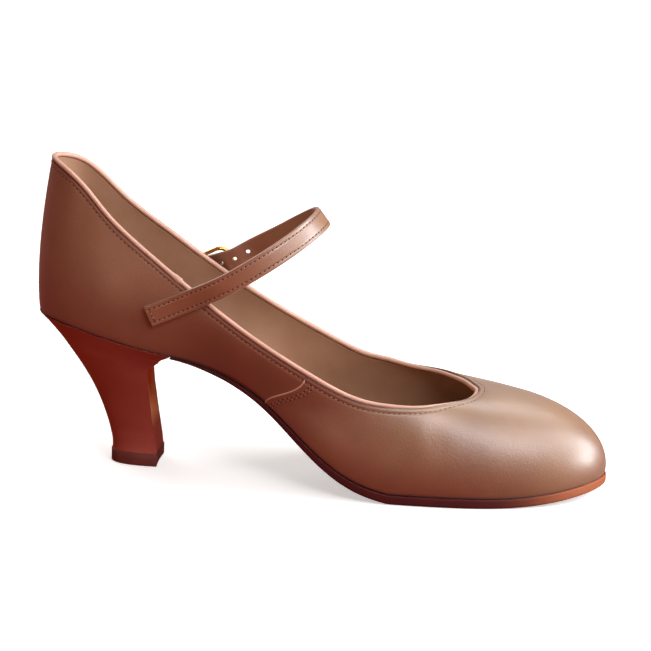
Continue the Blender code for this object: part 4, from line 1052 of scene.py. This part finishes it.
def sweep(path, across, out, profile):
    # the profile's two columns run across and out at every point of the path
    return path[:, None] + profile[None, :, :1] * across[:, None] + profile[None, :, 1:] * out[:, None]


def makeStrap():
    look = strapLook
    sections = sweep(strapPath, strapAcross, strapOut, strapProfile())
    # painted shade: darker and redder towards the strap's two low ends
    depth = look["red"] - look["shadeLessAhead"] * smoothStep(*look["shadeFadeAhead"], sections[..., 0])
    strap = makePiece("strapLeather", sections, closedLoft(sections), finishes["strap"], "strap",
                      look["sharpDegrees"], {"depth": depth})
    fromProng = strapLength - strapLength[np.argmin(np.linalg.norm(strapPath - prongHole, axis=1))]
    holes = []
    for step in range(-1, look["holesAhead"] + 1):
        where = int(np.argmin(np.abs(fromProng + step * look["holePitch"])))
        holes.append(punch(strapPath[where], strapOut[where], look["holeRadius"]) if step
                     else punch(prongHole, hingeOut, look["prongHoleRadius"]))
    cutOut(strap, holes, look["sharpDegrees"])
    return strap


def sewStrap():
    # a row along each edge of the strap and one across its sewn end
    look, row = strapLook, strapLook["endRow"]
    half, lift = look["width"] / 2 - look["stitchInset"], look["thickness"] / 2 - look["threadDrop"]
    inside = (strapLength > look["stitchInset"]) & (strapLength < strapLength[-1] - look["stitchInset"])
    lines = [np.column_stack((strapPath + side * half * strapAcross + lift * strapOut, strapOut))[inside]
             for side in (-1, 1)]
    share = np.linspace(*row["span"], row["points"])[:, None]
    raised = np.append(row["lift"] * strapOut[0], (0, 0, 0))
    lines.append(lines[0][0] * (1 - share) + lines[1][0] * share + raised)
    sew("strap", lines, False)


makeStrap()
sewStrap()


def wireProfile(diameter, sides):
    turn = fullTurn(sides)
    return np.column_stack((np.cos(turn), np.sin(turn))) * diameter / 2


def makeBuckleFrame():
    # rounded oblong ring: straight rails joined by quarter circles, tilted up at the front
    look = buckleLook
    halfLength, halfWidth = look["length"] / 2, look["width"] / 2
    rows = []
    for quarter, (a, w) in enumerate(((1, 1), (-1, 1), (-1, -1), (1, -1))):
        corner = look["frontCorner"] if a > 0 else look["hingeCorner"]
        turn = (quarter + np.linspace(0, 1, look["cornerPoints"])) * math.pi / 2
        rows.append(np.column_stack((a * (halfLength - corner) + corner * np.cos(turn) + halfLength,
                                     w * (halfWidth - corner) + corner * np.sin(turn))))
    flat = np.concatenate(rows)
    rise = barHeight + (frontBarHeight - barHeight) * flat[:, 0] / look["length"]
    path = buckleLocal(np.column_stack((flat, rise)))
    tangent = unit(np.roll(path, -1, 0) - np.roll(path, 1, 0))
    sideways = unit(np.cross(tangent, hingeOut))
    profile = wireProfile(look["wire"], look["frameSides"])
    sections = sweep(path, sideways, np.cross(sideways, tangent), profile)
    faces = gridQuads(len(path), len(profile), True, True)
    return makePiece("buckleFrame", sections, faces, finishes["brass"], "buckle_frame",
                     look["sharpDegrees"])


def makeProng():
    # a wire curled round the hinge bar, through its hole in the strap and down on the front bar
    look = buckleLook
    curl = look["wire"] / 2 + gap + look["prong"] / 2
    turn = np.radians(np.linspace(look["curlFrom"], 0, look["curlPoints"]))
    rows = [(curl * math.cos(a), 0.0, barHeight + curl * math.sin(a)) for a in turn]
    over = strapOverBar + strapLook["thickness"] / 2 - barHeight
    down = frontBarHeight + look["wire"] / 2 + gap * look["prongRest"] + look["prong"] / 2 - barHeight - over
    rows += [(ahead * look["length"], 0.0, barHeight + rise * over + fall * down + lift * look["prong"])
             for ahead, rise, fall, lift in look["prongLine"]]
    path = smoothPath(buckleLocal(rows), look["prongPoints"])
    across = np.tile(hingeAcross, (len(path), 1))
    out = np.cross(unit(np.gradient(path, axis=0)), across)
    sections = sweep(path, across, out, wireProfile(look["prong"], look["prongSides"]))
    return makePiece("buckleProng", sections, closedLoft(sections), finishes["brass"], "buckle_prong",
                     look["sharpDegrees"])


def makeTab():
    # flat tab on the quarter, looped round the hinge bar and tucked behind it; its ribs go with
    # the sine of the length along it
    look = buckleLook
    loop = look["wire"] / 2 + gap + look["tabThickness"] / 2
    lowLift = barHeight - loop
    first, final, steps = look["tabTurn"]
    turn = np.radians(np.linspace(first, final, steps))
    rows = [(-look["tabLength"] + (look["tabLength"] - loop) * share, lowLift)
            for share in np.linspace(0, 1, look["tabFlat"])]
    rows += [(loop * math.cos(a), barHeight + loop * math.sin(a)) for a in turn]
    rows += [(-loop * back, lowLift + look["tabThickness"] * lift + gap) for back, lift in look["tabTail"]]
    side = np.array(rows)
    path = buckleLocal(np.column_stack((side[:, 0], np.zeros(len(side)), side[:, 1])))
    for index, (forward, lift) in enumerate(side[:look["tabFlat"]]):
        flat = hingeOrigin + forward * hingeForwards
        path[index] = onQuarter(1, flat[0], flat[2], lift)[0]
    path = smoothPath(path, look["tabPoints"])
    wide = np.tile(hingeAcross, (len(path), 1))
    out = np.cross(unit(np.gradient(path, axis=0)), wide)
    rib = look["ribDepth"] * (np.sin(runLength(path) * 2 * math.pi / look["ribPitch"]) - 1) / 2
    w, t = look["tabWidth"] / 2, look["tabThickness"] / 2
    sections = np.stack([path + a * w * wide + (b * t + ribbed * rib)[:, None] * out
                         for a, b, ribbed in look["tabSection"]], 1)
    tab = makePiece("ribbedTab", sections, closedLoft(sections), finishes["tab"], "buckle_tab",
                    look["sharpDegrees"])
    # a slot through the folded end, where the prong turns on the hinge bar
    reach, half = loop + look["tabThickness"], look["slotWidth"] / 2
    corners = ((-reach, -half), (reach, -half), (reach, half), (-reach, half))
    slot = [buckleLocal([(a, b, height) for a, b in corners]) for height in (-gap, barHeight + reach)]
    cutOut(tab, [np.stack(slot)], look["sharpDegrees"])
    return tab


makeBuckleFrame()
makeProng()
makeTab()
print("strap and buckle made")


# Floor, light and camera

stageLook = dict(
    floorColour="#F2F1EF", floorGlow=0.58, floorHalf=5.0, floorDrop=0.0002,
    worldStrength=0.45,
    worldRamp=((0.40, "#C2472E"), (0.56, "#C8573D"), (0.76, "#948A85"), (1.00, "#B9B0AB")),
    # name, azimuth and elevation seen from the shoe in degrees, distance, width, height, watts
    lights=(("keySoftbox", 70, 42, 1.00, 1.16, 0.54, 6.2, "#FAFCFF"),
            ("vampSoftbox", 20, 40, 1.00, 0.20, 0.22, 2.0, "#F8F6FF"),
            ("vampLowSoftbox", 40, 32, 1.00, 0.30, 0.30, 1.7, "#FCFDFF"),
            ("toeSoftbox", 98, 22, 1.00, 0.40, 0.36, 4.6, "#E8F6FF"),
            ("toeLowSoftbox", 85, 7, 1.00, 0.30, 0.24, 5.4, "#F8FDFF"),
            ("toeFarSoftbox", 110, 14, 1.00, 0.30, 0.30, 1.0, "#D0ECFF"),
            ("frontFill", -25, 3, 1.20, 0.40, 0.30, 1.35, "#FFC8A6"),
            ("overhead", 150, 60, 1.10, 0.60, 0.50, 3.9, "#FFFFFF"),
            ("backSoftbox", 222, 34, 1.30, 0.70, 0.50, 4.0, "#FFFFFF")),
    aim=(0.076, 0.0, 0.062),
    yaw=7.3, elevation=15.5, roll=1.85, distance=2.0, lens=273.0, clipEnd=30.0)


def directionFrom(azimuth, elevation):
    # from the shoe towards a lamp or the camera: azimuth 0 faces the inner side, 90 the toe
    a, e = math.radians(azimuth), math.radians(elevation)
    return Vector((math.sin(a) * math.cos(e), -math.cos(a) * math.cos(e), math.sin(e)))


def makeFloor():
    # pale seamless paper just under the treads, matt, with a glow that lifts it to near white
    look, half = stageLook, stageLook["floorHalf"]
    corners = [(x * half, y * half, -look["floorDrop"]) for x, y in ((-1, -1), (1, -1), (1, 1), (-1, 1))]
    mesh = bpy.data.meshes.new("floor")
    mesh.from_pydata(corners, [], [(0, 1, 2, 3)])
    colour = linearColour(look["floorColour"])
    material = newMaterial("matt studio paper", {
        "Roughness": 0.9, "Base Color": colour, "Emission Color": colour,
        "Emission Strength": look["floorGlow"]})[0]
    mesh.materials.append(material)
    floor = addObject("floor", mesh)
    floor.visible_glossy = floor.visible_diffuse = False


def makeLights():
    # soft boxes that all face the shoe
    for name, azimuth, elevation, distance, width, height, power, colour in stageLook["lights"]:
        data = bpy.data.lights.new(name, "AREA")
        data.shape = "RECTANGLE"
        data.size, data.size_y, data.energy = width, height, power
        data.color = linearColour(colour)[:3]
        lamp, direction = addObject(name, data), directionFrom(azimuth, elevation)
        lamp.location = Vector(stageLook["aim"]) + direction * distance
        lamp.rotation_euler = direction.to_track_quat("Z", "Y").to_euler()


def makeWorld():
    # red and dim below, pale above, so that the shoe's undersides keep their deep tone
    world = bpy.data.worlds.new("studio")
    bpy.context.scene.world = world
    world.use_nodes = True
    tree = world.node_tree
    background = tree.nodes["Background"]
    background.inputs["Strength"].default_value = stageLook["worldStrength"]
    where = addNode(tree, "TexCoord").outputs["Generated"]
    direction = addNode(tree, "SeparateXYZ", {}, {"Vector": where})
    height = addNode(tree, "MapRange", {"From Min": -1.0, "From Max": 1.0}, {"Value": direction.outputs["Z"]})
    ramp = addNode(tree, "ValToRGB", {}, {"Fac": height.outputs["Result"]})
    tree.links.new(setRamp(ramp, stageLook["worldRamp"]), background.inputs["Color"])


def makeCamera():
    # the photograph's angle: yaw towards the toe, elevation, and the small roll
    back = directionFrom(stageLook["yaw"], stageLook["elevation"])
    yaw, roll = math.radians(stageLook["yaw"]), math.radians(stageLook["roll"])
    right = Vector((math.cos(yaw), math.sin(yaw), 0.0))
    up = back.cross(right)
    rolledRight = math.cos(roll) * right + math.sin(roll) * up
    rolledUp = -math.sin(roll) * right + math.cos(roll) * up
    data = bpy.data.cameras.new("camera")
    data.lens, data.clip_end = stageLook["lens"], stageLook["clipEnd"]
    camera = addObject("camera", data)
    turn = Matrix((rolledRight, rolledUp, back)).transposed()
    place = Vector(stageLook["aim"]) + back * stageLook["distance"]
    camera.matrix_world = Matrix.Translation(place) @ turn.to_4x4()
    bpy.context.scene.camera = camera


makeFloor()
makeLights()
makeWorld()
makeCamera()
bpy.context.scene.view_settings.view_transform = "Standard"
print("stage made")
